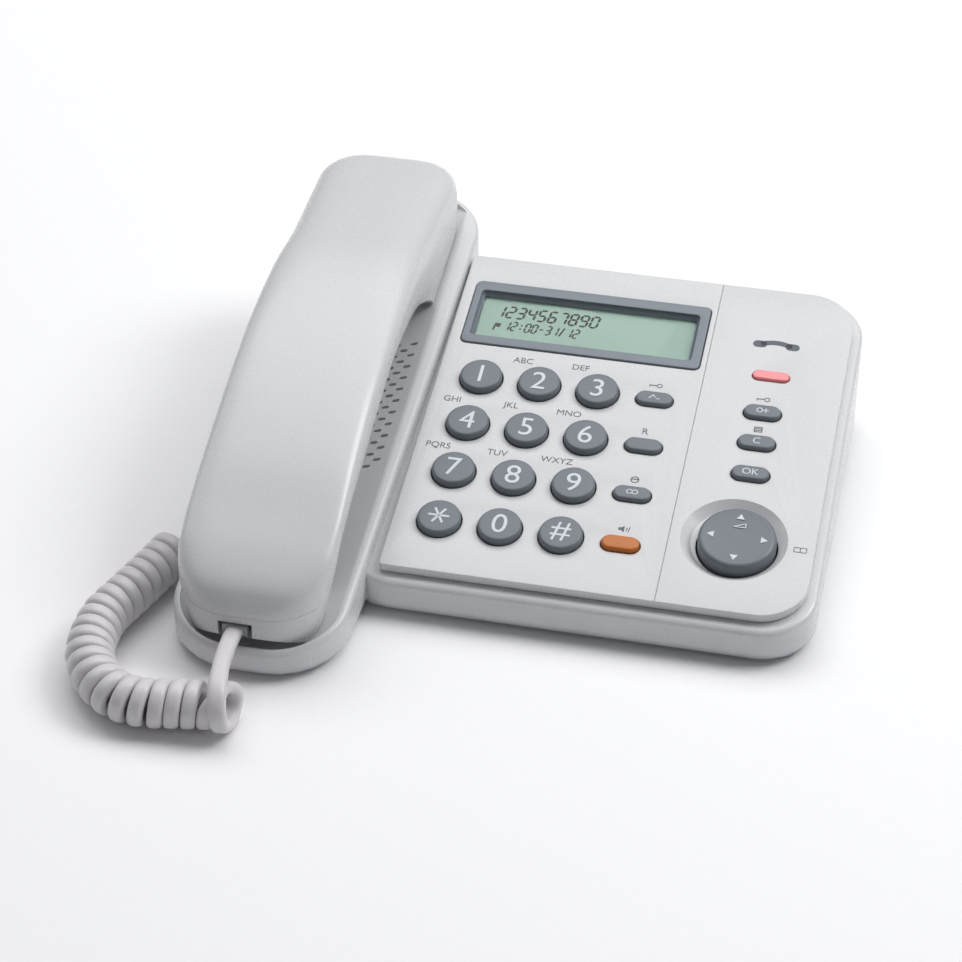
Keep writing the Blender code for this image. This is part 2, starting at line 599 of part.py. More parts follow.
def tube(name, points, radius, resolution, matrix=Matrix()):
    """A round tube along a polyline, with filled ends."""
    curve = bpy.data.curves.new(name, "CURVE")
    curve.dimensions = "3D"
    curve.bevel_depth = radius
    curve.bevel_resolution = resolution
    curve.use_fill_caps = True
    spline = curve.splines.new("POLY")
    spline.points.add(len(points) - 1)
    for point, place in zip(spline.points, points):
        point.co = (*place, 1)
    return curve_to_mesh(bpy.data.objects.new(name, curve), matrix)


def make_spring():
    """The small coil spring that lifts the hook plunger."""
    turns = 4
    steps = 7
    low = -14.5 * MM
    high = -10.6 * MM
    points = []
    for i in range(turns * steps + 1):
        angle = 2 * math.pi * i / steps
        w = low + (high - low) * i / (turns * steps)
        points.append((CRADLE_X + 2.2 * MM * math.cos(angle), HOOK_S + 2.2 * MM * math.sin(angle), w))
    finish(tube("spring", points, 0.25 * MM, 0, DECK_MATRIX), "hook_spring", METAL, in_deck=True)


def top_line(s):
    """Height of the handset's back at a place along it, on a smooth curve through HANDSET_TOP."""
    knots = [(a * MM, b * MM) for a, b in HANDSET_TOP]
    for i in range(len(knots) - 1):
        if s <= knots[i + 1][0] or i == len(knots) - 2:
            break
    p0 = knots[max(i - 1, 0)]
    p1 = knots[i]
    p2 = knots[i + 1]
    p3 = knots[min(i + 2, len(knots) - 1)]
    span = p2[0] - p1[0]
    t = (s - p1[0]) / span
    slope1 = (p2[1] - p0[1]) / (p2[0] - p0[0])
    slope2 = (p3[1] - p1[1]) / (p3[0] - p1[0])
    return ((2 * t ** 3 - 3 * t ** 2 + 1) * p1[1] + (t ** 3 - 2 * t ** 2 + t) * span * slope1
            + (3 * t ** 2 - 2 * t ** 3) * p2[1] + (t ** 3 - t ** 2) * span * slope2)


def along(knots, s):
    """Value at a place along the handset, on straight lines between the knots."""
    for (s0, v0), (s1, v1) in zip(knots, knots[1:]):
        if s <= s1 * MM:
            break
    share = min(max((s - s0 * MM) / ((s1 - s0) * MM), 0), 1)
    return v0 + (v1 - v0) * share


def end_width(s, inset):
    """Half width of the handset at a place along it, with rounded ends in plan."""
    radius = HANDSET_CORNER - inset
    half = HANDSET_HALF_WIDTH - inset
    reach = min(s - (HANDSET_FRONT + inset), (HANDSET_BACK - inset) - s)
    if reach >= radius:
        return half
    return half - radius + math.sqrt(max(radius ** 2 - (radius - reach) ** 2, 0))


def loaf(name, inset, low=-12 * MM):
    """Lofted upper form of the handset: straight sides, a soft shoulder and a crowned back."""
    front = HANDSET_FRONT + inset
    back = HANDSET_BACK - inset
    stations = [0, 0.5, 2, 4.5, 8, 13, 20]
    ends = [(front + d * MM) for d in stations] + [(back - d * MM) for d in reversed(stations)]
    middle = [front + 20 * MM + (back - front - 40 * MM) * (i + 1) / 15 for i in range(14)]
    places = ends[:len(stations)] + middle + ends[len(stations):]
    bm = bmesh.new()
    rings = []
    for s in places:
        half = max(end_width(s, inset), 2 * MM)
        top = top_line(min(max(s, HANDSET_FRONT), HANDSET_BACK)) - inset
        waist = min(along(WAIST, s) * MM, top - 1.5 * MM)
        foot = half - along(UNDERCUT, s) * (waist - low)
        ring = [(-foot, low), (-half, waist)]
        for i in range(1, 12):
            angle = math.pi * (1 - i / 12)
            c = math.cos(angle)
            x = half * math.copysign(abs(c) ** 0.5, c)
            ring.append((x, waist + max(top - waist, 0.4 * MM) * math.sin(angle) ** 0.5))
        ring += [(half, waist), (foot, low)]
        rings.append([bm.verts.new((CRADLE_X + x, s + w * math.tan(DECK_ANGLE), w)) for x, w in ring])
    count = len(rings[0])
    for a, b in zip(rings, rings[1:]):
        for i in range(count):
            bm.faces.new((a[i], a[(i + 1) % count], b[(i + 1) % count], b[i]))
    bm.faces.new(rings[0])
    bm.faces.new(list(reversed(rings[-1])))
    bmesh.ops.recalc_face_normals(bm, faces=bm.faces)
    return add_bmesh(name, bm, DECK_MATRIX)


def handset_body(name, inset):
    """The whole outer or inner form of the handset, with its belly and the arch under the grip."""
    body = loaf(name, inset)
    keep(body, trough_bar(BELLY_RADIUS - inset))
    middle = 50 * MM
    arch = []
    for s, w in GRIP_LINE:
        s = s * MM + (inset if s * MM > middle else -inset)
        arch.append((s, w * MM + inset if w > -14 else w * MM))
    cut(body, side_prism("arch", arch, -0.15, 0.0, DECK_MATRIX))
    chin = [(s * MM + inset / 2, w * MM + (inset if w > -20 else 0)) for s, w in CHIN]
    return cut(body, side_prism("chin", chin, -0.15, 0.0, DECK_MATRIX))


def make_handset():
    """The two handset shells, the receiver, the microphone and the cord socket."""
    for name, offset, edge in (("handset_top_shell", GAP / 2, 80 * MM),
                               ("handset_bottom_shell", -GAP / 2, -40 * MM)):
        shell = handset_body("handset", 0)
        seam = [(s * MM, w * MM + offset) for s, w in PARTING_LINE]
        outline = seam + [(seam[-1][0], edge), (seam[0][0], edge)]
        keep(shell, side_prism("half", outline, -0.15, 0.0, DECK_MATRIX))
        hollow = handset_body("handset_hollow", HANDSET_WALL)
        cut(shell, hollow)
        if name == "handset_bottom_shell":
            notch = ((JACK_X - 5.2 * MM, -60 * MM, JACK_W - 2.5 * MM),
                     (JACK_X + 5.2 * MM, -34 * MM, JACK_W + 2.5 * MM))
            cut(shell, box("notch", *notch, DECK_MATRIX))
            for place in sound_holes((CRADLE_X, 132 * MM), 5 * MM, 6) + [(CRADLE_X, -21.5 * MM)]:
                cut(shell, rod("hole", (*place, 0), 0.9 * MM, -20 * MM, 2 * MM, DECK_MATRIX, 8))
        finish(shell, name, WHITE, (CRADLE_X, 60 * MM, 0), in_deck=True)
    receiver = rod("receiver", (CRADLE_X, 132 * MM, 0), 14 * MM, 0.7 * MM, 7.5 * MM, DECK_MATRIX, 24)
    finish(receiver, "receiver_capsule", BLACK, in_deck=True)
    microphone = rod("microphone", (CRADLE_X, -21.5 * MM, 0), 2.9 * MM, -0.9 * MM, 0.9 * MM, DECK_MATRIX, 20)
    finish(microphone, "microphone", METAL, in_deck=True)
    socket = box("socket", (JACK_X - 5.6 * MM, -31.6 * MM, JACK_W - 3.9 * MM),
                 (JACK_X + 5.6 * MM, -21 * MM, JACK_W + 4.4 * MM), DECK_MATRIX)
    bore = box("bore", (JACK_X - 4.2 * MM, -40 * MM, JACK_W - 2.4 * MM),
               (JACK_X + 4.2 * MM, -24 * MM, JACK_W + 2.4 * MM), DECK_MATRIX)
    finish(cut(socket, bore), "handset_socket", BLACK, in_deck=True)


def sound_holes(centre, radius, count):
    """A middle hole and a ring of others round it."""
    angles = [2 * math.pi * i / count for i in range(count)]
    return [centre] + [(centre[0] + radius * math.cos(a), centre[1] + radius * math.sin(a)) for a in angles]


def smooth_points(route, count):
    """Evenly numbered points on a smooth curve through a route's own points."""
    points = [Vector(p) * MM for p in route]
    ends = [2 * points[0] - points[1]] + points + [2 * points[-1] - points[-2]]
    fine = []
    for i in range(1, len(ends) - 2):
        a, b, c, d = ends[i - 1:i + 3]
        for step in range(16):
            t = step / 16
            fine.append(0.5 * (2 * b + (c - a) * t + (2 * a - 5 * b + 4 * c - d) * t ** 2
                               + (3 * b - a - 3 * c + d) * t ** 3))
    fine.append(points[-1])
    lengths = [0.0]
    for a, b in zip(fine, fine[1:]):
        lengths.append(lengths[-1] + (b - a).length)
    found = []
    index = 0
    for i in range(count):
        want = lengths[-1] * i / (count - 1)
        while index < len(lengths) - 2 and lengths[index + 1] < want:
            index += 1
        share = (want - lengths[index]) / (lengths[index + 1] - lengths[index])
        found.append(fine[index].lerp(fine[index + 1], share))
    return found


# Cord route, in millimetres in the world frame
TAIL_ROUTE = ((-71.4, -99.5, 15.25), (-71.3, -103, 15.7), (-71, -108, 16.3), (-70.6, -112.5, 16.8),
              (-70.2, -116.8, 17.2))
COIL_ROUTE = ((-64.6, -123, 7.6), (-67.5, -123, 7.6), (-75.2, -124.1, 7.6), (-83.3, -125.5, 7.6),
              (-92.2, -126.6, 7.6), (-100.7, -124.6, 7.6), (-108.8, -117.6, 7.6), (-113.8, -107.3, 7.6),
              (-114.5, -93, 7.6), (-110.9, -81, 7.6), (-107.6, -70.5, 7.6), (-105.9, -60.4, 7.6))
BASE_TAIL_ROUTE = ((-97.6, -48, 8.9), (-99.8, -48, 8.9), (-102.8, -49, 8.7), (-104.9, -51.6, 8.3),
                   (-105.5, -55.6, 7.9), (-105.8, -59.7, 7.6))


def make_cord():
    """The curly cord: two plugs, two straight ends and the coiled length as one solid of its outer size."""
    plug = box("plug", (JACK_X - 3.8 * MM, -37.4 * MM, JACK_W - 2.1 * MM),
               (JACK_X + 3.8 * MM, -25 * MM, JACK_W + 2.1 * MM), DECK_MATRIX)
    finish(plug, "cord_plug_handset", PLUG, in_deck=True)
    x, y, z = BASE_JACK
    plug = box("plug", (x - 1.9 * MM, y - 3.8 * MM, z - 2.7 * MM), (x + 9.5 * MM, y + 3.8 * MM, z + 2.7 * MM))
    finish(plug, "cord_plug_base", PLUG)
    half = CORD_DIAMETER / 2
    finish(tube("tail", smooth_points(TAIL_ROUTE, 6), half, 2), "cord_tail_handset", CORD)
    finish(tube("coil", smooth_points(COIL_ROUTE, 18), COIL_RADIUS, 3), "cord_coil", CORD)
    finish(tube("tail", smooth_points(BASE_TAIL_ROUTE, 8), half, 2), "cord_tail_base", CORD)


make_upper_housing()
make_bottom_cover()
make_covers()
make_keys()
make_insides()
make_handset()
make_cord()
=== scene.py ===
"""Corded desk telephone: the finished look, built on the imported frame.

World frame: X to the right, Y to the back, Z up, metres. Deck frame: the same X, S up the sloping deck
from its front edge, W square to it.
"""

import math

import bmesh
import bpy
from bpy.props import FloatProperty, FloatVectorProperty, PointerProperty
from mathutils import Matrix, Vector


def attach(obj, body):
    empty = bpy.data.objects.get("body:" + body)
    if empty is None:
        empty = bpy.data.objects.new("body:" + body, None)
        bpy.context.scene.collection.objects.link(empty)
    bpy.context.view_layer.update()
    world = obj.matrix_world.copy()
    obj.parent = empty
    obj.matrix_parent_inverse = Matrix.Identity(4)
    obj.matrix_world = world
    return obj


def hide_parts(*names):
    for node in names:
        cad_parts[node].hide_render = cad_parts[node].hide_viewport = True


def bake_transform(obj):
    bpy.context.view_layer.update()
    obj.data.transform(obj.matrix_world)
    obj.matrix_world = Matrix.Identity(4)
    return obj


bl_info = {
    "name": "Corded telephone look",
    "version": (1, 0, 0),
    "blender": (4, 5, 0),
    "location": "View3D > Sidebar > Telephone",
    "description": "Builds the finished pieces of a corded desk telephone round its packed frame",
    "category": "Object",
}

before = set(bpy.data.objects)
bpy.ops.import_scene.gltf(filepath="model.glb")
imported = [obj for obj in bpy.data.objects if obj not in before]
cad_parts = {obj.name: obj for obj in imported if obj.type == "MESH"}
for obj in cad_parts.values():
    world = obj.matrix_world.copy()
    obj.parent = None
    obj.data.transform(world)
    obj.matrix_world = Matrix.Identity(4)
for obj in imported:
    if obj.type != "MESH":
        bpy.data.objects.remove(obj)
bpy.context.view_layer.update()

MM = 0.001
WIDTH = 190.5 * MM
DEPTH = 204 * MM
DECK_ANGLE = math.radians(10.8)
DECK_FRONT_Y = -61 * MM
DECK_FRONT_Z = 16.8 * MM
DECK_LENGTH = 138.5 * MM
DECK_LEFT = -37.15 * MM
DECK_RIGHT = 91.95 * MM
DECK_SEAM = 47.45 * MM
BODY_STEP = 3.3 * MM
BODY_CORNER = 17 * MM
WALL = 2.2 * MM
BODY_TOP_W = -3.5 * MM
BODY_BOTTOM = 3.9 * MM
LEDGE_TOP_W = -6.0 * MM
CRADLE_X = -68.75 * MM
CRADLE_LEFT = -WIDTH / 2
CRADLE_RIGHT_FRONT = -41.15 * MM
CRADLE_RIGHT_BACK = -37.75 * MM
CRADLE_CORNER_FRONT = 22 * MM
CRADLE_CORNER_BACK = 20 * MM
RIM_W = 1.3 * MM
RIM_WIDTH = 2.0 * MM
TROUGH_RADIUS = 59.6 * MM
TROUGH_AXIS_W = 55.4 * MM
HANDSET_HALF_WIDTH = 24 * MM
HANDSET_FRONT = -38.2 * MM
HANDSET_BACK = 162.6 * MM
HANDSET_CORNER = 18 * MM
HANDSET_WALL = 2.2 * MM
BELLY_RADIUS = TROUGH_RADIUS - 0.5 * MM
# Along the deck, in millimetres: seam between the two shells (S, W)
PARTING_LINE = ((-60, 10.5), (-26, 10.5), (-4, 17.6), (92, 17.6), (108, 12), (200, 12))
# Widest line of the sides, and how far they lean in below it: (S, value)
WAIST = ((-38.2, 8), (-30, 10.5), (-22.5, 15), (-13, 20), (0, 22.5), (10, 23.5), (25, 25), (40, 26.5),
         (55, 27.5), (68, 26.5), (80, 24.5), (92, 21.5), (104, 15), (112, 12), (162.6, 11))
UNDERCUT = ((-38.2, 0.15), (-25, 0.2), (-14, 0.31), (98, 0.31), (108, 0.05), (162.6, 0.05))
# Underside of the grip along the deck: (S, W)
GRIP_LINE = ((-15, -14), (-14.5, -4), (-11, 4), (-5, 10), (3, 13.6), (12, 15), (84, 15), (92, 14.2),
             (99, 12.2), (105, 9), (110, 4.5), (113.5, -1), (115.5, -7), (116, -14))
# Line under the chin that lifts it off the trough: (S, W)
CHIN = ((-24, -20), (-24, -6), (-29, -3.4), (-33, -0.9), (-36, 1.7), (-39, 4.6), (-60, 4.8), (-60, -20))
# Top line of the handset along the deck: (S, W) in millimetres
HANDSET_TOP = ((-38.2, 12.5), (-35, 18), (-27, 21.8), (-12, 25.6), (8, 30.3), (34, 34), (62, 34.8),
               (92, 33), (116, 29.1), (142, 23.6), (153.4, 20.8), (159.2, 17.8), (162.6, 12.5))
KEY_PITCH_X = 19 * MM
KEY_PITCH_S = 20.6 * MM
KEY_ONE = (-22.75 * MM, 82 * MM)
KEY_RADIUS = 6.8 * MM
SIDE_KEY_X = 33.65 * MM
FUNCTION_X = 68.25 * MM
FUNCTION_S = (82 * MM, 68.8 * MM, 55.5 * MM)
OVAL_X = 5.9 * MM
OVAL_S = 2.9 * MM
KEY_GAP = 0.35 * MM
NAV = (68.31 * MM, 27.1 * MM)
NAV_RADIUS = 12 * MM
LAMP = (68.65 * MM, 98.6 * MM)
JACK_X = -71.35 * MM
JACK_W = 5.7 * MM
BASE_JACK = (CRADLE_LEFT, -48 * MM, 8.9 * MM)
LINE_JACK = (-9.25 * MM, 78.3 * MM, 13 * MM)
HOOK_S = 122 * MM
SCREWS = ((87.2 * MM, -56 * MM), (87.2 * MM, 70 * MM), (-83 * MM, -73 * MM), (-83 * MM, 82 * MM))
DECK = Matrix.Translation((0, DECK_FRONT_Y, DECK_FRONT_Z)) @ Matrix.Rotation(DECK_ANGLE, 4, "X")

# Curly cord, in millimetres in the world frame
TAIL_ROUTE = ((-71.4, -97.2, 15.1), (-71.4, -99.5, 15.25), (-71.3, -103, 15.7), (-71, -108, 16.3),
              (-70.6, -112.5, 16.8), (-70.2, -116.8, 17.2))
COIL_ROUTE = ((-64.6, -123, 7.6), (-67.5, -123, 7.6), (-75.2, -124.1, 7.6), (-83.3, -125.5, 7.6),
              (-92.2, -126.6, 7.6), (-100.7, -124.6, 7.6), (-108.8, -117.6, 7.6), (-113.8, -107.3, 7.6),
              (-114.5, -93, 7.6), (-110.9, -81, 7.6), (-107.6, -70.5, 7.6), (-104.6, -60.5, 7.6),
              (-103.1, -53.5, 7.6))
BASE_TAIL_ROUTE = ((-101.6, -50.6, 8.8), (-99.6, -48.6, 8.9), (-97.3, -48, 8.9))
COIL_PITCH = 4.83 * MM


def linear(code, alpha=1.0):
    """Turn an sRGB hex colour into linear values."""
    values = [int(code[i:i + 2], 16) / 255 for i in (0, 2, 4)]
    return [v / 12.92 if v < 0.04045 else ((v + 0.055) / 1.055) ** 2.4 for v in values] + [alpha]


def add_node(tree, kind, options=None, inputs=None):
    """Add a node with its options; each input is a value to set or a socket to link."""
    node = tree.nodes.new(kind)
    for name, value in (options or {}).items():
        setattr(node, name, value)
    for name, value in (inputs or {}).items():
        if isinstance(value, bpy.types.NodeSocket):
            tree.links.new(value, node.inputs[name])
        else:
            node.inputs[name].default_value = value
    return node


def start_material(name, roughness, **sockets):
    """Make a Principled material with constants set on the shader; returns it, its tree and its shader."""
    made = bpy.data.materials.new(name)
    made.use_nodes = True
    shader = made.node_tree.nodes["Principled BSDF"]
    shader.inputs["Roughness"].default_value = roughness
    for socket, value in sockets.items():
        shader.inputs[socket.replace("_", " ")].default_value = value
    return made, made.node_tree, shader


def moulded(name, colour, roughness, grain_mm, depth_mm, patch_mm=22, **sockets):
    """An injection-moulded plastic: two close tones in soft patches and a fine eroded grain."""
    light = [*colour[:3], 1.0]
    dark = [value * 0.95 for value in colour[:3]] + [1.0]
    made, tree, shader = start_material(name, roughness, **sockets)
    place = add_node(tree, "ShaderNodeTexCoord").outputs["Object"]
    patches = add_node(tree, "ShaderNodeTexNoise", None,
                       {"Vector": place, "Scale": 1000 / patch_mm, "Detail": 3.0, "Roughness": 0.55})
    tone = add_node(tree, "ShaderNodeMix", {"data_type": "RGBA"},
                    {"Factor": patches.outputs["Fac"], 6: light, 7: dark})
    tree.links.new(tone.outputs[2], shader.inputs["Base Color"])
    grain = add_node(tree, "ShaderNodeTexNoise", None,
                     {"Vector": place, "Scale": 1000 / grain_mm, "Detail": 2.0, "Roughness": 0.6})
    gloss = add_node(tree, "ShaderNodeMapRange", None,
                     {"Value": grain.outputs["Fac"], "To Min": roughness - 0.05, "To Max": roughness + 0.06})
    tree.links.new(gloss.outputs[0], shader.inputs["Roughness"])
    bump = add_node(tree, "ShaderNodeBump", None,
                    {"Strength": 0.35, "Distance": depth_mm * MM, "Height": grain.outputs["Fac"]})
    tree.links.new(bump.outputs["Normal"], shader.inputs["Normal"])
    return made


def make_materials(colours):
    """All the finishes, keyed by a short name."""
    finish = {}
    # Glossy white ABS from a polished mould: neutral white, soft reflections, the faintest eroded grain.
    finish["white"] = moulded("ABS moulded white", colours.white, 0.27, 0.4, 0.003, IOR=1.53)
    # The same ABS from a spark-eroded mould: coarser grain, so the underside looks matt.
    finish["underside"] = moulded("ABS spark eroded white", colours.underside, 0.55, 0.8, 0.05, IOR=1.53)
    # Pigmented ABS key caps: mid grey, satin, grain fine enough to read as a bloom on the highlight.
    finish["key"] = moulded("ABS moulded key grey", colours.key, 0.42, 0.45, 0.02, IOR=1.53)
    # Orange ABS key cap, same mould finish as the grey ones.
    finish["orange"] = moulded("ABS moulded key orange", colours.orange, 0.4, 0.45, 0.02, IOR=1.53)
    # Slate polycarbonate frame: fine eroded texture with a dull sheen.
    finish["bezel"] = moulded("Polycarbonate eroded slate", colours.bezel, 0.45, 0.5, 0.03, IOR=1.58)
    # Black ABS of jacks and switches: matt, slightly blue.
    finish["black"] = moulded("ABS moulded black", linear("2A2C2F"), 0.5, 0.6, 0.03, IOR=1.53)
    # Moulded nitrile rubber: near black, no shine, chalky grain.
    finish["rubber"] = moulded("Nitrile rubber moulded", linear("3B3D40"), 0.8, 0.7, 0.08, IOR=1.52)
    # Shrink-sleeved cell: printed PVC film over steel.
    finish["cell"] = moulded("PVC shrink sleeve", linear("5A646E"), 0.3, 3.0, 0.02, IOR=1.53)
    # Plasticised PVC cord: warm grey-white, waxy highlight, faint draw lines of the extruder.
    finish["cord"] = moulded("PVC extruded cord", colours.cord, 0.36, 0.9, 0.02, 9, IOR=1.53,
                             Subsurface_Weight=0.12, Subsurface_Radius=(0.002, 0.0018, 0.0016))
    # Glass-epoxy board under green solder mask: the weave shows through as a faint pattern.
    finish["board"] = moulded("Glass epoxy solder masked", linear("2F6B45"), 0.35, 1.2, 0.03, IOR=1.5)
    # Red polystyrene lens: light sinks in and comes back pink.
    finish["lens"] = moulded("Polystyrene tinted lens", colours.lamp, 0.22, 0.8, 0.01, 6, IOR=1.59,
                             Subsurface_Weight=0.3, Subsurface_Radius=(0.004, 0.0012, 0.0012))
    # Zinc-plated steel: bright with a brushed drawing direction.
    made, tree, shader = start_material("Steel zinc plated", 0.32, Metallic=1.0)
    place = add_node(tree, "ShaderNodeTexCoord").outputs["Object"]
    stretch = add_node(tree, "ShaderNodeMapping", None, {"Vector": place, "Scale": (1600, 1600, 160)})
    lines = add_node(tree, "ShaderNodeTexNoise", None,
                     {"Vector": stretch.outputs[0], "Scale": 1.0, "Detail": 3.0})
    tone = add_node(tree, "ShaderNodeMix", {"data_type": "RGBA"},
                    {"Factor": lines.outputs["Fac"], 6: linear("C4C6C8"), 7: linear("A6A9AC")})
    tree.links.new(tone.outputs[2], shader.inputs["Base Color"])
    finish["steel"] = made
    # Reflective twisted-nematic display: green-grey foil behind glass, faintly speckled.
    made, tree, shader = start_material("Display glass reflective", 0.3, IOR=1.5)
    place = add_node(tree, "ShaderNodeTexCoord").outputs["Object"]
    speck = add_node(tree, "ShaderNodeTexNoise", None, {"Vector": place, "Scale": 1800.0, "Detail": 2.0})
    tone = add_node(tree, "ShaderNodeMix", {"data_type": "RGBA"},
                    {"Factor": speck.outputs["Fac"], 6: [*colours.display, 1.0], 7: linear("A5BDAE")})
    tree.links.new(tone.outputs[2], shader.inputs["Base Color"])
    finish["display"] = made
    # Cast acrylic window with an anti-reflection coat: clear, so the figures stay dark under it.
    made, tree, shader = start_material("Acrylic coated window", 0.03, IOR=1.2, Transmission_Weight=1.0)
    shader.inputs["Base Color"].default_value = linear("F2F8F4")
    finish["window"] = made
    # Clear polycarbonate plug: cloudy from moulding.
    made, tree, shader = start_material("Polycarbonate clear plug", 0.18, IOR=1.58, Transmission_Weight=0.6)
    shader.inputs["Base Color"].default_value = linear("D3D8DB")
    finish["plug"] = made
    # Pad-printed inks: flat, slightly raised films.
    for name, title, code in (("white_ink", "Ink pad printed white", "DAE1E8"),
                              ("dark_ink", "Ink pad printed slate", "5B626B"),
                              ("segment", "Display segment dark", "0C1210")):
        finish[name] = moulded(title, linear(code), 0.5, 0.5, 0.01)
    return finish


FINISH = {}


def smooth(obj, angle=32):
    """Shade an object smooth, with edges sharper than an angle kept."""
    obj.data.shade_smooth()
    obj.data.set_sharp_from_angle(angle=math.radians(angle))
    return obj


def link_mesh(name, mesh, matrix=None):
    """Link a mesh as an object, its place worked into the mesh."""
    if matrix is not None:
        mesh.transform(matrix)
    obj = bpy.data.objects.new(name, mesh)
    bpy.context.scene.collection.objects.link(obj)
    return obj


def link_bmesh(name, bm, matrix=None):
    """Link a bmesh as an object and free it."""
    mesh = bpy.data.meshes.new(name)
    bm.to_mesh(mesh)
    bm.free()
    return link_mesh(name, mesh, matrix)


def evaluated(obj):
    """A new mesh of an object with its modifiers applied."""
    bpy.context.view_layer.update()
    return bpy.data.meshes.new_from_object(obj.evaluated_get(bpy.context.evaluated_depsgraph_get()))


def settle(obj, finish, body, nodes=(), angle=32):
    """Give a piece its finish and body, and hide the frame solids it stands for."""
    obj.data.materials.clear()
    obj.data.materials.append(FINISH[finish])
    smooth(obj, angle)
    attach(obj, body)
    if nodes:
        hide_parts(*nodes)
    return obj


def arc(centre, radius, start, end, steps):
    """Points along an arc, angles in degrees."""
    angles = [math.radians(start + (end - start) * i / steps) for i in range(steps + 1)]
    return [(centre[0] + radius * math.cos(a), centre[1] + radius * math.sin(a)) for a in angles]


def rounded(left, right, front, back, radius, steps=10):
    """Outline of a rounded rectangle, anticlockwise."""
    corners = (((right - radius, front + radius), 270), ((right - radius, back - radius), 0),
               ((left + radius, back - radius), 90), ((left + radius, front + radius), 180))
    return [point for centre, start in corners for point in arc(centre, radius, start, start + 90, steps)]


def oval(centre, radius_x, radius_y, steps=64):
    """Outline of an oval, anticlockwise."""
    return [(centre[0] + radius_x * math.cos(2 * math.pi * i / steps),
             centre[1] + radius_y * math.sin(2 * math.pi * i / steps)) for i in range(steps)]


def slot_outline(centre, half_length, half_width, steps=12):
    """Outline of a slot with round ends, along X."""
    x, y = centre
    straight = half_length - half_width
    return (arc((x + straight, y), half_width, -90, 90, steps)
            + arc((x - straight, y), half_width, 90, 270, steps))


def plate(name, outlines, low, high, edge=0.0, steps=3, matrix=None):
    """A flat plate from an outer outline and its holes, with rounded edges."""
    curve = bpy.data.curves.new(name, "CURVE")
    curve.dimensions = "2D"
    curve.fill_mode = "BOTH"
    curve.extrude = (high - low) / 2 - edge
    curve.bevel_depth = edge
    curve.bevel_resolution = steps
    curve.offset = -edge
    for i, outline in enumerate(outlines):
        spline = curve.splines.new("POLY")
        spline.points.add(len(outline) - 1)
        ordered = outline if i == 0 else list(reversed(outline))
        for point, (x, y) in zip(spline.points, ordered):
            point.co = (x, y, 0, 1)
        spline.use_cyclic_u = True
    obj = bpy.data.objects.new(name, curve)
    bpy.context.scene.collection.objects.link(obj)
    mesh = evaluated(obj)
    bpy.data.objects.remove(obj, do_unlink=True)
    bm = bmesh.new()
    bm.from_mesh(mesh)
    bmesh.ops.translate(bm, verts=bm.verts, vec=(0, 0, (low + high) / 2))
    bmesh.ops.remove_doubles(bm, verts=bm.verts, dist=0.002 * MM)
    bmesh.ops.recalc_face_normals(bm, faces=bm.faces)
    return link_bmesh(name, bm, matrix)


def side_plate(name, outline, left, right, matrix=None):
    """Extrude a side outline of (y, z) points between two X values."""
    turn = Matrix(((0, 0, 1, 0), (1, 0, 0, 0), (0, 1, 0, 0), (0, 0, 0, 1)))
    return plate(name, [outline], left, right, matrix=turn if matrix is None else matrix @ turn)


def box(name, low, high, matrix=None):
    """A box between two corners."""
    low = Vector(low)
    high = Vector(high)
    bm = bmesh.new()
    bmesh.ops.create_cube(bm, size=1)
    bmesh.ops.scale(bm, verts=bm.verts, vec=high - low)
    bmesh.ops.translate(bm, verts=bm.verts, vec=(high + low) / 2)
    return link_bmesh(name, bm, matrix)


def rod(name, centre, radius, low, high, matrix=None, sides=48, axis="Z", top_radius=None):
    """A round bar along an axis, between two positions on it."""
    turns = {"Z": Matrix(), "Y": Matrix.Rotation(-math.pi / 2, 4, "X"),
             "X": Matrix.Rotation(math.pi / 2, 4, "Y")}
    bm = bmesh.new()
    bmesh.ops.create_cone(bm, cap_ends=True, segments=sides, radius1=radius,
                          radius2=radius if top_radius is None else top_radius, depth=high - low)
    bm.transform(turns[axis])
    place = Vector(centre)
    place["XYZ".index(axis)] = (low + high) / 2
    bmesh.ops.translate(bm, verts=bm.verts, vec=place)
    return link_bmesh(name, bm, matrix)


def combine(target, other, operation="DIFFERENCE", solver="EXACT"):
    """Apply a boolean to the target and remove the other object."""
    modifier = target.modifiers.new("combine", "BOOLEAN")
    modifier.operation = operation
    modifier.solver = solver
    modifier.object = other
    mesh = evaluated(target)
    target.modifiers.clear()
    target.data = mesh
    bpy.data.objects.remove(other, do_unlink=True)
    if not mesh.vertices:
        raise RuntimeError("nothing is left of " + target.name)
    return target


def gather(parts):
    """Put separate shapes that do not touch into one object."""
    bm = bmesh.new()
    for part in parts:
        bm.from_mesh(part.data)
        bpy.data.objects.remove(part, do_unlink=True)
    return link_bmesh("gathered", bm)


def soften(obj, width, segments=3, angle=40):
    """Round every edge sharper than an angle."""
    modifier = obj.modifiers.new("soften", "BEVEL")
    modifier.width = width
    modifier.segments = segments
    modifier.limit_method = "ANGLE"
    modifier.angle_limit = math.radians(angle)
    modifier.harden_normals = False
    modifier.use_clamp_overlap = True
    mesh = evaluated(obj)
    obj.modifiers.clear()
    obj.data = mesh
    return obj


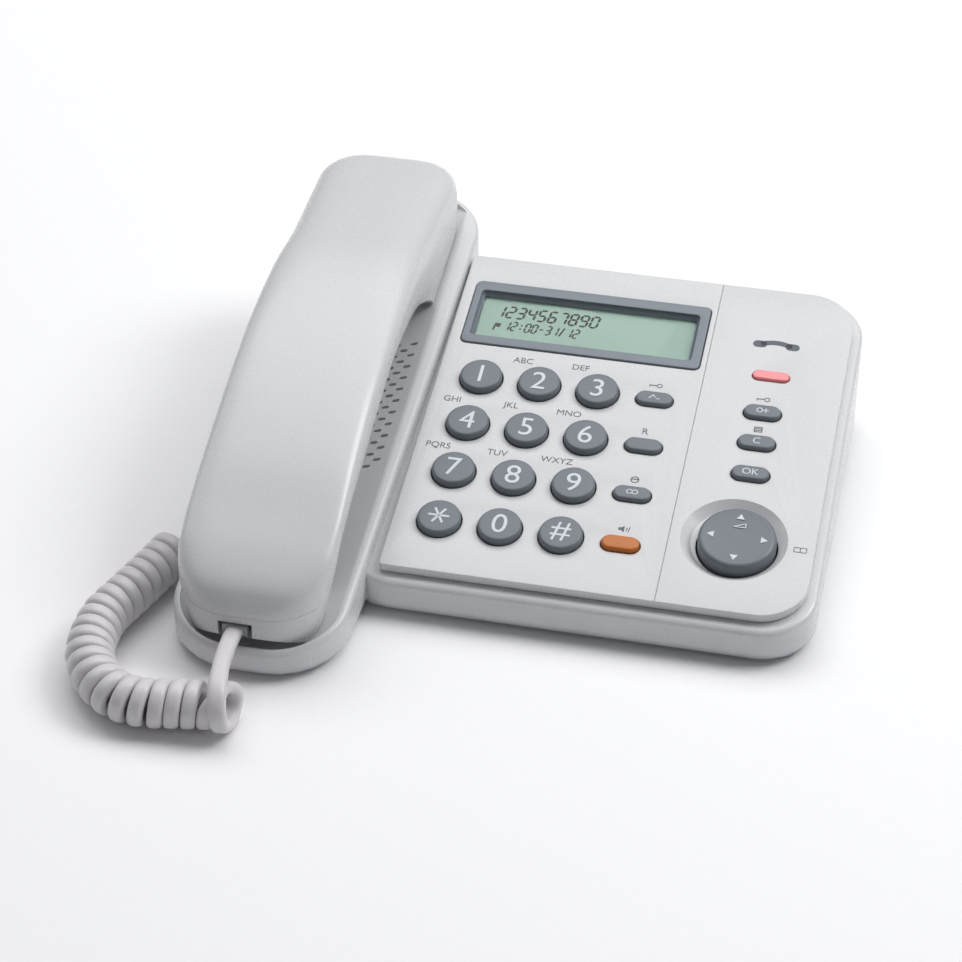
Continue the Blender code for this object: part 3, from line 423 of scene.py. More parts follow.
def lettering(name, text, size, place, top, body, finish="white_ink"):
    """Printed characters centred on a place on the deck, as a thin raised film."""
    curve = bpy.data.curves.new(name, "FONT")
    curve.body = text
    curve.size = size
    curve.align_x = "CENTER"
    curve.align_y = "CENTER"
    curve.extrude = 0.02 * MM
    curve.resolution_u = 6
    obj = bpy.data.objects.new(name, curve)
    bpy.context.scene.collection.objects.link(obj)
    mesh = evaluated(obj)
    bpy.data.objects.remove(obj, do_unlink=True)
    lows = [min(v.co[i] for v in mesh.vertices) for i in range(2)]
    highs = [max(v.co[i] for v in mesh.vertices) for i in range(2)]
    middle = Vector(((lows[0] + highs[0]) / 2, (lows[1] + highs[1]) / 2, 0))
    mesh.transform(Matrix.Translation(-middle))
    return settle(link_mesh(name, mesh, DECK @ Matrix.Translation((*place, top))), finish, body)


def mark(name, outlines, place, top, body, finish="dark_ink"):
    """A small printed sign made of flat outlines, in millimetres round a place on the deck."""
    shapes = [plate("shape", [[(x * MM, y * MM) for x, y in outline] for outline in group],
                    -0.02 * MM, 0.02 * MM) for group in outlines]
    piece = gather(shapes)
    piece.name = name
    piece.data.transform(DECK @ Matrix.Translation((*place, top)))
    return settle(piece, finish, body)


def cradle_outline(inset=0.0, steps=16):
    """Plan of the cradle: a rounded bar that widens a little towards the back on its right side."""
    front = -DEPTH / 2 + inset
    back = DEPTH / 2 - inset
    left = CRADLE_LEFT + inset
    right_front = CRADLE_RIGHT_FRONT - inset
    right_back = CRADLE_RIGHT_BACK - inset
    near = CRADLE_CORNER_FRONT - inset
    far = CRADLE_CORNER_BACK - inset
    return (arc((right_front - near, front + near), near, 270, 360, steps)
            + arc((right_back - far, back - far), far, 0, 90, steps)
            + arc((left + far, back - far), far, 90, 180, steps)
            + arc((left + near, front + near), near, 180, 270, steps))


def deck_outline(inset=0.0, left=-50 * MM, steps=16):
    """Plan of the base under the deck."""
    return rounded(left, DECK_RIGHT + BODY_STEP - inset, DECK_FRONT_Y - BODY_STEP + inset,
                   DECK_FRONT_Y + DECK_LENGTH * math.cos(DECK_ANGLE) + BODY_STEP - inset,
                   BODY_CORNER - inset, steps)


def above(w):
    """A block that covers everything above a height over the deck."""
    return box("above", (-0.2, -0.2, w), (0.2, 0.3, 0.2), DECK)


def trough_bar(radius, extra=0.0):
    """The long round bar whose lower side shapes the cradle's trough and the handset's belly."""
    return rod("bar", (CRADLE_X, 0, TROUGH_AXIS_W), radius, -60 * MM, 190 * MM + extra, DECK, 360, "Y")


def round_top(obj, level, width, segments):
    """Round the edges of a block's sloping top."""
    to_deck = DECK.inverted()
    bm = bmesh.new()
    bm.from_mesh(obj.data)
    edges = [edge for edge in bm.edges
             if all((to_deck @ vert.co).z > level - 0.1 * MM for vert in edge.verts)
             and edge.calc_face_angle(0) > 0.4]
    bmesh.ops.bevel(bm, geom=edges, offset=width, segments=segments, profile=0.5, affect="EDGES")
    bm.to_mesh(obj.data)
    bm.free()
    return obj


def build_housing():
    """The white upper housing: stepped body, cradle with its trough, rim and sound slots."""
    shell = plate("housing", [deck_outline()], BODY_BOTTOM, 60 * MM)
    combine(shell, above(BODY_TOP_W))
    round_top(shell, BODY_TOP_W, 1.6 * MM, 5)
    cradle = plate("cradle", [cradle_outline()], BODY_BOTTOM, 80 * MM)
    combine(cradle, above(RIM_W))
    round_top(cradle, RIM_W, 1.6 * MM, 6)
    combine(shell, cradle, "UNION")
    trough = plate("trough", [cradle_outline(RIM_WIDTH)], -20 * MM, 100 * MM)
    combine(trough, trough_bar(TROUGH_RADIUS), "INTERSECT")
    combine(shell, trough)
    hollow = plate("hollow", [deck_outline(WALL, -46 * MM)], -10 * MM, 60 * MM)
    combine(hollow, above(LEDGE_TOP_W))
    cradle_hollow = plate("cradle_hollow", [cradle_outline(WALL)], -10 * MM, 80 * MM)
    combine(cradle_hollow, above(RIM_W - WALL - 2.4 * MM))
    combine(cradle_hollow, trough_bar(TROUGH_RADIUS + WALL, 40 * MM))
    combine(hollow, cradle_hollow, "UNION")
    for x, y in SCREWS:
        combine(hollow, rod("boss", (x, y, 0), 3.4 * MM, -20 * MM, 90 * MM))
    combine(shell, hollow, solver="MANIFOLD")
    well = rounded(-32.4 * MM, 85.2 * MM, 6 * MM, 130 * MM, 6 * MM)
    combine(shell, plate("well", [well], -12 * MM, 10 * MM, matrix=DECK))
    for x, y in SCREWS:
        combine(shell, rod("pilot", (x, y, 0), 1.3 * MM, 0, 8.2 * MM, sides=20))
    half_x = 3.5 * MM
    half_s = 2.4 * MM
    hook = rounded(CRADLE_X - half_x, CRADLE_X + half_x, HOOK_S - half_s, HOOK_S + half_s, 0.8 * MM)
    cutters = [plate("hook_slot", [hook], -12 * MM, 10 * MM, matrix=DECK)]
    for row in range(11):
        for column, x in enumerate((-47.8, -50.7, -53.6)):
            s = 94 - 5.2 * row - 2.6 * (column % 2)
            outline = slot_outline((x * MM, s * MM), 1.3 * MM, 0.6 * MM, 6)
            cutters.append(plate("slot", [outline], -9 * MM, 10 * MM, matrix=DECK))
    combine(shell, gather(cutters))
    x, y, z = LINE_JACK
    combine(shell, box("line_hole", (x - 6 * MM, y - 5 * MM, z - 5 * MM),
                       (x + 6 * MM, y + 5 * MM, z + 5 * MM)))
    x, y, z = BASE_JACK
    combine(shell, box("cord_hole", (x - 5 * MM, y - 4.2 * MM, z - 3.1 * MM),
                       (x + 5 * MM, y + 4.2 * MM, z + 3.1 * MM)))
    shell.name = "housing_shell"
    settle(shell, "white", "base", ("upper_housing",), 28)


def dial_places():
    """Centres of the twelve dial keys, row by row from the back."""
    return [(KEY_ONE[0] + column * KEY_PITCH_X, KEY_ONE[1] - row * KEY_PITCH_S)
            for row in range(4) for column in range(3)]


def side_places():
    """Centres of the four oval keys beside the dial keys, from the back."""
    return [(SIDE_KEY_X, KEY_ONE[1] - row * KEY_PITCH_S) for row in range(4)]


DISPLAY_FRAME = (-33.15 * MM, 45.35 * MM, 97.5 * MM, 126.2 * MM)
DISPLAY_GLASS = (-29.85 * MM, 41.35 * MM, 102 * MM, 121.2 * MM)


def build_covers():
    """The keypad cover and the function panel, with rounded lips round every opening."""
    low = BODY_TOP_W + 0.3 * MM
    outer = (arc((DECK_LEFT + 1.5 * MM, 1.5 * MM), 1.5 * MM, 180, 270, 6)
             + [(DECK_SEAM - 0.03 * MM, 0), (DECK_SEAM - 0.03 * MM, DECK_LENGTH),
                (DECK_LEFT + 1.5 * MM, DECK_LENGTH), (DECK_LEFT, DECK_LENGTH - 1.5 * MM)])
    holes = [oval(place, KEY_RADIUS + KEY_GAP, KEY_RADIUS + KEY_GAP) for place in dial_places()]
    holes += [slot_outline(place, OVAL_X + KEY_GAP, OVAL_S + KEY_GAP) for place in side_places()]
    gap = 0.3 * MM
    left, right, front, back = DISPLAY_FRAME
    holes.append(rounded(left - gap, right + gap, front - gap, back + gap, 2.3 * MM))
    cover = plate("keypad_face", [outer] + holes, low, 0, 0.28 * MM, 3, DECK)
    settle(cover, "white", "base", ("keypad_cover",))
    corner = 15 * MM
    outer = ([(DECK_SEAM + 0.03 * MM, 0)] + arc((DECK_RIGHT - corner, corner), corner, 270, 360, 16)
             + arc((DECK_RIGHT - corner, DECK_LENGTH - corner), corner, 0, 90, 16)
             + [(DECK_SEAM + 0.03 * MM, DECK_LENGTH)])
    holes = [slot_outline((FUNCTION_X, s), OVAL_X + KEY_GAP, OVAL_S + KEY_GAP) for s in FUNCTION_S]
    holes.append(slot_outline(LAMP, 6.15 * MM, 2.25 * MM))
    panel = plate("function_face", [outer] + holes, low, 0, 0.28 * MM, 3)
    dish = rod("dish", (NAV[0] - 1.1 * MM, NAV[1] + 1.3 * MM, 0), 13.2 * MM, -2.3 * MM, 0.6 * MM, sides=96,
               top_radius=17.2 * MM)
    combine(panel, dish)
    combine(panel, rod("nav_hole", (*NAV, 0), NAV_RADIUS + 0.6 * MM, -9 * MM, 9 * MM, sides=96))
    panel.data.transform(DECK)
    settle(panel, "white", "base", ("function_panel",))


SEVEN = {"0": "abcdef", "1": "bc", "2": "abged", "3": "abgcd", "4": "fgbc", "5": "afgcd", "6": "afgedc",
         "7": "abc", "8": "abcdefg", "9": "abcdfg", "-": "g"}


def segments(text, left, base, width, height, gap, stroke):
    """Outlines of slanting seven-bar figures."""
    outlines = []
    slant = 0.16
    for i, sign in enumerate(text):
        x = left + i * (width + gap)
        bars = {"a": (0, 2, 1, 2), "g": (0, 1, 1, 1), "d": (0, 0, 1, 0), "f": (0, 1, 0, 2), "b": (1, 1, 1, 2),
                "e": (0, 0, 0, 1), "c": (1, 0, 1, 1)}
        if sign == ":":
            for level in (0.3, 0.7):
                y = base + height * level
                outlines.append([(x + width / 2 + slant * y - slant * base + dx, y + dy) for dx, dy in
                                 ((-stroke / 2, -stroke / 2), (stroke / 2, -stroke / 2),
                                  (stroke / 2, stroke / 2), (-stroke / 2, stroke / 2))])
        if sign == "/":
            outlines.append([(x, base), (x + stroke, base), (x + width + stroke * 0.6, base + height),
                             (x + width - stroke * 0.4, base + height)])
        for bar in SEVEN.get(sign, ""):
            x0, y0, x1, y1 = bars[bar]
            ends = [Vector((x + width * x0, base + height * y0 / 2)),
                    Vector((x + width * x1, base + height * y1 / 2))]
            along = (ends[1] - ends[0]).normalized()
            side = Vector((-along.y, along.x)) * stroke / 2
            tip = along * stroke * 0.62
            corners = [ends[0] + tip - side, ends[1] - tip - side, ends[1] - along * stroke * 0.1,
                       ends[1] - tip + side, ends[0] + tip + side, ends[0] + along * stroke * 0.1]
            outlines.append([(p.x + slant * (p.y - base), p.y) for p in corners])
    return outlines


def build_display():
    """The display: slate frame with sloping inner walls, clear window, glass and its figures."""
    left, right, front, back = DISPLAY_FRAME
    inner = DISPLAY_GLASS
    opening = rounded(inner[0] - 0.9 * MM, inner[1] + 0.9 * MM, inner[2] - 0.9 * MM, inner[3] + 0.9 * MM,
                      1.3 * MM)
    bezel = plate("display_frame", [rounded(left, right, front, back, 2 * MM), opening],
                  BODY_TOP_W + 0.3 * MM, 0.5 * MM, 0.3 * MM)
    bezel.data.transform(DECK)
    settle(bezel, "bezel", "base", ("display_bezel",))
    rings = []
    bm = bmesh.new()
    for grow, w in ((0.95, 0.15), (0.9, -0.3), (0.15, -1.35), (0, -1.45), (0, -3.1), (1.2, -3.1)):
        ring = rounded(inner[0] - grow * MM, inner[1] + grow * MM, inner[2] - grow * MM, inner[3] + grow * MM,
                       (0.8 + grow) * MM, 6)
        rings.append([bm.verts.new((x, y, w * MM)) for x, y in ring])
    for a, b in zip(rings, rings[1:]):
        for i in range(len(a)):
            bm.faces.new((a[i], a[(i + 1) % len(a)], b[(i + 1) % len(a)], b[i]))
    bmesh.ops.recalc_face_normals(bm, faces=bm.faces)
    settle(link_bmesh("display_frame_slope", bm, DECK), "bezel", "base")
    sheet = rounded(inner[0] + 0.3 * MM, inner[1] - 0.3 * MM, inner[2] + 0.3 * MM, inner[3] - 0.3 * MM,
                    0.6 * MM)
    pane = plate("display_pane", [sheet], -2.0 * MM, -1.5 * MM, 0.1 * MM, 1, DECK)
    settle(pane, "window", "base", ("display_window",))
    sheet = rounded(-31 * MM, 43 * MM, 99.5 * MM, 124 * MM, 0.5 * MM)
    glass = plate("display_glass_sheet", [sheet], -5.8 * MM, -2.3 * MM, 0.1 * MM, 1, DECK)
    settle(glass, "display", "base", ("display_module",))
    top = -2.27 * MM
    x0 = inner[0] / MM
    s0 = inner[2] / MM
    large = segments("1234567890", x0 + 5.0, s0 + 11.0, 2.3, 5.0, 1.2, 0.8)
    small = segments("12:00-31/12", x0 + 8.9, s0 + 5.2, 1.5, 3.9, 0.8, 0.62)
    figures = [[outline] for outline in large + small]
    mark("display_figures", figures, (0, 0), top, "base", "segment")
    icon = [[[(x0 + 5.4, s0 + 4.7), (x0 + 6.0, s0 + 4.7), (x0 + 6.5, s0 + 7.9), (x0 + 5.9, s0 + 7.9)]],
            [[(x0 + 6.2, s0 + 6.2), (x0 + 7.6, s0 + 6.2), (x0 + 7.9, s0 + 7.9), (x0 + 6.5, s0 + 7.9)]]]
    mark("display_sign", icon, (0, 0), top, "base", "segment")
    lens = plate("lamp_cover", [slot_outline(LAMP, 5.9 * MM, 2 * MM)], -4.5 * MM, 0.8 * MM, 0.6 * MM, 5, DECK)
    settle(lens, "lens", "base", ("lamp_lens",))


def key_cap(name, place, radius_x, radius_s, top, crown, edge, finish, node):
    """A key: flange under the cover, upright side, rounded edge and a low crown."""
    profile = [(-0.75, -4.95), (-0.85, -4.85), (-0.85, -3.95), (-0.75, -3.85), (0, -3.8), (0, -0.5),
               (0.08, top - edge)]
    for i in range(1, 7):
        angle = math.radians(15 * i)
        profile.append((0.08 + edge * (1 - math.cos(angle)), top - edge + edge * math.sin(angle)))
    outline = oval if radius_x == radius_s else slot_outline
    steps = 72 if radius_x == radius_s else 35
    sizes = [(1, radius_x - inset * MM, radius_s - inset * MM, w) for inset, w in profile]
    inset = profile[-1][0] * MM
    for k in range(1, 6):
        share = 1 - k / 6
        sizes.append((share, radius_x - inset, radius_s - inset, top + crown * (1 - share ** 2)))
    bm = bmesh.new()
    rings = [[bm.verts.new((x, y, w * MM)) for x, y in outline((0, 0), half_x * share, half_s * share, steps)]
             for share, half_x, half_s, w in sizes]
    steps = len(rings[0])
    for a, b in zip(rings, rings[1:]):
        for i in range(steps):
            bm.faces.new((a[i], a[(i + 1) % steps], b[(i + 1) % steps], b[i]))
    bm.faces.new(list(reversed(rings[0])))
    bm.faces.new(rings[-1])
    piece = link_bmesh(name, bm, DECK @ Matrix.Translation((*place, 0)))
    return settle(piece, finish, node, (node,), 50)


def build_keys(size):
    """The twelve dial keys with their figures and the letters beside them, and the seven oval keys."""
    names = ("1", "2", "3", "4", "5", "6", "7", "8", "9", "star", "0", "hash")
    letters = {"2": "ABC", "3": "DEF", "4": "GHI", "5": "JKL", "6": "MNO", "7": "PQRS", "8": "TUV",
               "9": "WXYZ"}
    for name, place in zip(names, dial_places()):
        key_cap("dial_cap_" + name, place, KEY_RADIUS, KEY_RADIUS, 2.3, 0.1, 0.9, "key", "key_" + name)
        if name == "star":
            arms = []
            for i in range(3):
                a = math.radians(60 * i)
                c = Vector((math.cos(a), math.sin(a)))
                n = Vector((-c.y, c.x)) * 0.38
                arms.append([[tuple(p) for p in (-c * 3.3 - n, c * 3.3 - n, c * 3.3 + n, -c * 3.3 + n)]])
            mark("dial_figure_star", arms, place, 2.46 * MM, "key_star", "white_ink")
        else:
            text = "#" if name == "hash" else name
            lettering("dial_figure_" + name, text, size, place, 2.46 * MM, "key_" + name)
        if name in letters:
            beside = (place[0] - 7.2 * MM, place[1] + 10.2 * MM)
            lettering("dial_letters_" + name, letters[name], 3.4 * MM, beside, 0.03 * MM, "base", "dark_ink")
    side = (("mute_key", "key", "grey_key_plastic"), ("recall_key", "key", "grey_key_plastic"),
            ("redial_key", "key", "grey_key_plastic"), ("speaker_key", "orange", "orange_key_plastic"))
    for (name, finish, slot), place in zip(side, side_places()):
        key_cap(name + "_cap", place, OVAL_X, OVAL_S, 1.4, 0.1, 0.8, finish, name)
    for name, s in zip(("store_key", "clear_key", "ok_key"), FUNCTION_S):
        key_cap(name + "_cap", (FUNCTION_X, s), OVAL_X, OVAL_S, 1.4, 0.1, 0.8, "key", name)
    lettering("clear_figure", "C", 3.6 * MM, (FUNCTION_X, FUNCTION_S[1]), 1.53 * MM, "clear_key")
    lettering("ok_figure", "OK", 3.6 * MM, (FUNCTION_X, FUNCTION_S[2]), 1.53 * MM, "ok_key")
    above_recall = (SIDE_KEY_X - 0.4 * MM, side_places()[1][1] + 6.6 * MM)
    lettering("recall_sign", "R", 3.6 * MM, above_recall, 0.03 * MM, "base", "dark_ink")


def ring_outline(x, y, radius, width):
    """A ring: its outer and inner outline, in millimetres."""
    return [oval((x, y), radius, radius, 24), oval((x, y), radius - width, radius - width, 24)]


def bar(x0, y0, x1, y1, width):
    """A straight stroke between two points, in millimetres."""
    a = Vector((x0, y0))
    b = Vector((x1, y1))
    n = (b - a).normalized()
    n = Vector((-n.y, n.x)) * width / 2
    return [[tuple(a - n), tuple(b - n), tuple(b + n), tuple(a + n)]]


def build_signs():
    """The small generic signs printed above and on the function keys."""
    places = side_places()
    lift = 0.03 * MM
    key_sign = [ring_outline(1.2, 0, 0.95, 0.32), bar(-2.2, 0, 0.3, 0, 0.34), bar(-1.9, -0.8, -1.9, 0, 0.3)]
    mark("lock_sign", key_sign, (places[0][0] - 0.5 * MM, places[0][1] + 6.4 * MM), lift, "base")
    mark("mute_sign", [bar(-1.6, -0.8, -0.4, 0.9, 0.34), bar(-0.4, 0.9, 0.3, -0.2, 0.34),
                       bar(0.7, -0.7, 1.7, -0.7, 0.34)],
         places[0], 1.53 * MM, "mute_key", "white_ink")
    mark("redial_sign", [ring_outline(0, 0, 1.35, 0.34), bar(-1.3, 0.2, 1.3, 0.2, 0.4)],
         (places[2][0] - 0.2 * MM, places[2][1] + 6.4 * MM), lift, "base")
    mark("redial_figure", [ring_outline(-0.8, 0, 1.0, 0.32), ring_outline(0.9, 0, 1.0, 0.32)],
         places[2], 1.53 * MM, "redial_key", "white_ink")
    mark("speaker_sign", [[[(-1.5, -0.5), (-0.7, -0.5), (0.3, -1.3), (0.3, 1.3), (-0.7, 0.5), (-1.5, 0.5)]],
                          bar(0.9, -0.7, 1.2, 0.7, 0.28), bar(1.6, -1.1, 2.0, 1.1, 0.28)],
         (places[3][0] - 0.2 * MM, places[3][1] + 6.4 * MM), lift, "base")
    mark("store_sign", key_sign, (FUNCTION_X - 0.5 * MM, FUNCTION_S[0] + 6.2 * MM), lift, "base")
    mark("store_figure", [ring_outline(-0.9, 0, 1.05, 0.32), bar(0.2, 0, 2.0, 0, 0.34),
                          bar(1.1, -0.9, 1.1, 0.9, 0.34)],
         (FUNCTION_X, FUNCTION_S[0]), 1.53 * MM, "store_key", "white_ink")
    sheet = [bar(-1.2, y, 1.2, y, 0.34) for y in (-1.0, -0.35, 0.35, 1.0)]
    sheet += [bar(x, -1.1, x, 1.1, 0.3) for x in (-1.2, 1.2)]
    mark("clear_sign", sheet, (FUNCTION_X - 0.3 * MM, FUNCTION_S[1] + 6.1 * MM), lift, "base")
    book = [bar(-1.9, -0.9, -1.9, 0.9, 0.26), bar(1.9, -0.9, 1.9, 0.9, 0.26), bar(0, -0.9, 0, 0.9, 0.3),
            bar(-1.9, 0.9, 1.9, 0.9, 0.26), bar(-1.9, -0.9, 1.9, -0.9, 0.26)]
    mark("book_sign", book, (NAV[0] + 19.2 * MM, NAV[1] + 0.4 * MM), lift, "base")
    hump = arc((0, -9.2), 11.6, 62, 118, 14) + arc((0, -9.2), 9.6, 118, 62, 14)
    sign = [[hump], [slot_outline((-5.3, 0.2), 2.3, 1.5, 8)], [slot_outline((5.3, 0.2), 2.3, 1.5, 8)]]
    mark("handset_sign", sign, (LAMP[0] - 0.2 * MM, LAMP[1] + 14.0 * MM), lift, "base")


def build_navigation():
    """The round navigation key with its raised lip, its pivot socket and four arrows."""
    profile = [(0, -3.3), (NAV_RADIUS / MM - 0.15, -3.3), (NAV_RADIUS / MM, -3.15), (NAV_RADIUS / MM, 1.4)]
    for i in range(1, 9):
        angle = math.radians(90 * i / 8)
        profile.append((NAV_RADIUS / MM - 1.5 * (1 - math.cos(angle)), 1.4 + 1.5 * math.sin(angle)))
    profile += [(10.4, 2.88), (9.4, 2.78), (7.6, 2.6), (5.0, 2.45), (2.5, 2.38), (0, 2.36)]
    bm = bmesh.new()
    steps = 96
    rings = [[bm.verts.new((x, y, w * MM)) for x, y in oval((0, 0), r * MM, r * MM, steps)]
             for r, w in profile if r > 0]
    for a, b in zip(rings, rings[1:]):
        for i in range(steps):
            bm.faces.new((a[i], a[(i + 1) % steps], b[(i + 1) % steps], b[i]))
    bm.faces.new(list(reversed(rings[0])))
    bm.faces.new(rings[-1])
    piece = link_bmesh("navigation_disc", bm)
    combine(piece, rod("nav_socket", (0, 0, 0), 3.4 * MM, -9 * MM, -1.6 * MM, sides=32))
    piece.data.transform(DECK @ Matrix.Translation((*NAV, 0)))
    settle(piece, "key", "navigation_key", ("navigation_key",), 40)
    arrows = []
    for i in range(4):
        turn = Matrix.Rotation(math.radians(90 * i), 2)
        arrows.append([[tuple(turn @ Vector(p)) for p in ((7.2, -1.25), (9.3, 0), (7.2, 1.25))]])
    mark("navigation_arrows", arrows, NAV, 2.78 * MM, "navigation_key", "white_ink")
    wedge = [bar(-1.8, 4.1, 1.9, 4.1, 0.3), bar(-1.8, 4.1, 1.9, 5.7, 0.3), bar(1.9, 4.0, 1.9, 5.8, 0.3)]
    mark("navigation_wedge", wedge, NAV, 2.62 * MM, "navigation_key", "white_ink")


def top_line(s):
    """Height of the handset's back at a place along it, on a smooth curve through HANDSET_TOP."""
    knots = [(a * MM, b * MM) for a, b in HANDSET_TOP]
    for i in range(len(knots) - 1):
        if s <= knots[i + 1][0] or i == len(knots) - 2:
            break
    p0 = knots[max(i - 1, 0)]
    p1 = knots[i]
    p2 = knots[i + 1]
    p3 = knots[min(i + 2, len(knots) - 1)]
    span = p2[0] - p1[0]
    t = (s - p1[0]) / span
    slope1 = (p2[1] - p0[1]) / (p2[0] - p0[0])
    slope2 = (p3[1] - p1[1]) / (p3[0] - p1[0])
    return ((2 * t ** 3 - 3 * t ** 2 + 1) * p1[1] + (t ** 3 - 2 * t ** 2 + t) * span * slope1
            + (3 * t ** 2 - 2 * t ** 3) * p2[1] + (t ** 3 - t ** 2) * span * slope2)


def along(knots, s):
    """Value at a place along the handset, on straight lines between the knots."""
    for (s0, v0), (s1, v1) in zip(knots, knots[1:]):
        if s <= s1 * MM:
            break
    share = min(max((s - s0 * MM) / ((s1 - s0) * MM), 0), 1)
    return v0 + (v1 - v0) * share


def end_width(s, inset):
    """Half width of the handset at a place along it, with rounded ends in plan."""
    radius = HANDSET_CORNER - inset
    half = HANDSET_HALF_WIDTH - inset
    reach = min(s - (HANDSET_FRONT + inset), (HANDSET_BACK - inset) - s)
    if reach >= radius:
        return half
    return half - radius + math.sqrt(max(radius ** 2 - (radius - reach) ** 2, 0))


def loaf(name, inset, low=-12 * MM):
    """Lofted form of the handset: straight sides, a soft shoulder and a crowned back."""
    front = HANDSET_FRONT + inset
    back = HANDSET_BACK - inset
    corner = 20 * MM
    ends = [corner * (1 - math.cos(math.radians(90 * i / 16))) for i in range(17)]
    middle = [front + corner + (back - front - 2 * corner) * i / 36 for i in range(1, 36)]
    places = [front + d for d in ends] + middle + [back - d for d in reversed(ends)]
    steps = 40
    bm = bmesh.new()
    rings = []
    for s in places:
        half = max(end_width(s, inset), 2 * MM)
        top = top_line(min(max(s, HANDSET_FRONT), HANDSET_BACK)) - inset
        waist = min(along(WAIST, s) * MM, top - 1.5 * MM)
        foot = half - along(UNDERCUT, s) * (waist - low)
        ring = [(-foot, low), (-half, waist)]
        for i in range(1, steps):
            angle = math.pi * (1 - i / steps)
            c = math.cos(angle)
            x = half * math.copysign(abs(c) ** 0.5, c)
            ring.append((x, waist + max(top - waist, 0.4 * MM) * math.sin(angle) ** 0.5))
        ring += [(half, waist), (foot, low)]
        rings.append([bm.verts.new((CRADLE_X + x, s + w * math.tan(DECK_ANGLE), w)) for x, w in ring])
    count = len(rings[0])
    for a, b in zip(rings, rings[1:]):
        for i in range(count):
            bm.faces.new((a[i], a[(i + 1) % count], b[(i + 1) % count], b[i]))
    bm.faces.new(rings[0])
    bm.faces.new(list(reversed(rings[-1])))
    bmesh.ops.recalc_face_normals(bm, faces=bm.faces)
    return link_bmesh(name, bm, DECK)


def handset_form(name, inset):
    """The outer or inner form of the handset, with its belly and the arch under the grip."""
    body = loaf(name, inset)
    combine(body, trough_bar(BELLY_RADIUS - inset), "INTERSECT")
    middle = 50 * MM
    arch = []
    for place, w in GRIP_LINE:
        place = place * MM + (inset if place * MM > middle else -inset)
        arch.append((place, w * MM + inset if w > -14 else w * MM))
    combine(body, side_plate("arch", list(reversed(arch)), -0.15, 0.0, DECK))
    chin = [(s * MM + inset / 2, w * MM + (inset if w > -20 else 0)) for s, w in CHIN]
    return combine(body, side_plate("chin", chin, -0.15, 0.0, DECK))


def build_handset():
    """The handset: two shells with a fine parting line, sound holes and the cord's notch."""
    for name, node, offset, edge in (("handset_upper", "handset_top_shell", 0.05 * MM, 80 * MM),
                                     ("handset_lower", "handset_bottom_shell", -0.05 * MM, -40 * MM)):
        shell = handset_form(name, 0)
        seam = [(place * MM, w * MM + offset) for place, w in PARTING_LINE]
        outline = seam + [(seam[-1][0], edge), (seam[0][0], edge)]
        combine(shell, side_plate("half", outline, -0.15, 0.0, DECK), "INTERSECT")
        combine(shell, handset_form("handset_hollow", HANDSET_WALL))
        if node == "handset_bottom_shell":
            combine(shell, box("notch", (JACK_X - 5.2 * MM, -60 * MM, JACK_W - 2.5 * MM),
                               (JACK_X + 5.2 * MM, -34 * MM, JACK_W + 2.5 * MM), DECK))
            ring = oval((0, 0), 5, 5, 6)
            places = [(x * MM, (132 + y) * MM) for x, y in [(0, 0)] + ring] + [(0, -21.5 * MM)]
            holes = [rod("hole", (CRADLE_X + x, s, 0), 0.9 * MM, -20 * MM, 2 * MM, DECK, 24)
                     for x, s in places]
            combine(shell, gather(holes))
        shell.name = name
        settle(shell, "white", "handset", (node,), 30)


def curve_points(route, spacing):
    """Evenly spaced points on a smooth curve through a route's own points, given in millimetres."""
    points = [Vector(p) * MM for p in route]
    ends = [2 * points[0] - points[1]] + points + [2 * points[-1] - points[-2]]
    fine = []
    for i in range(1, len(ends) - 2):
        a, b, c, d = ends[i - 1:i + 3]
        for step in range(24):
            t = step / 24
            fine.append(0.5 * (2 * b + (c - a) * t + (2 * a - 5 * b + 4 * c - d) * t ** 2
                               + (3 * b - a - 3 * c + d) * t ** 3))
    fine.append(points[-1])
    lengths = [0.0]
    for a, b in zip(fine, fine[1:]):
        lengths.append(lengths[-1] + (b - a).length)
    count = max(2, round(lengths[-1] / spacing) + 1)
    found = []
    index = 0
    for i in range(count):
        want = lengths[-1] * i / (count - 1)
        while index < len(lengths) - 2 and lengths[index + 1] < want:
            index += 1
        share = (want - lengths[index]) / (lengths[index + 1] - lengths[index])
        found.append(fine[index].lerp(fine[index + 1], share))
    return found, lengths[-1]


def blend_value(t, knots):
    """Smooth interpolation through (position, value) knots."""
    if t <= knots[0][0]:
        return knots[0][1]
    for (a, va), (b, vb) in zip(knots, knots[1:]):
        if t <= b:
            u = (t - a) / (b - a)
            return va + (vb - va) * u * u * (3 - 2 * u)
    return knots[-1][1]


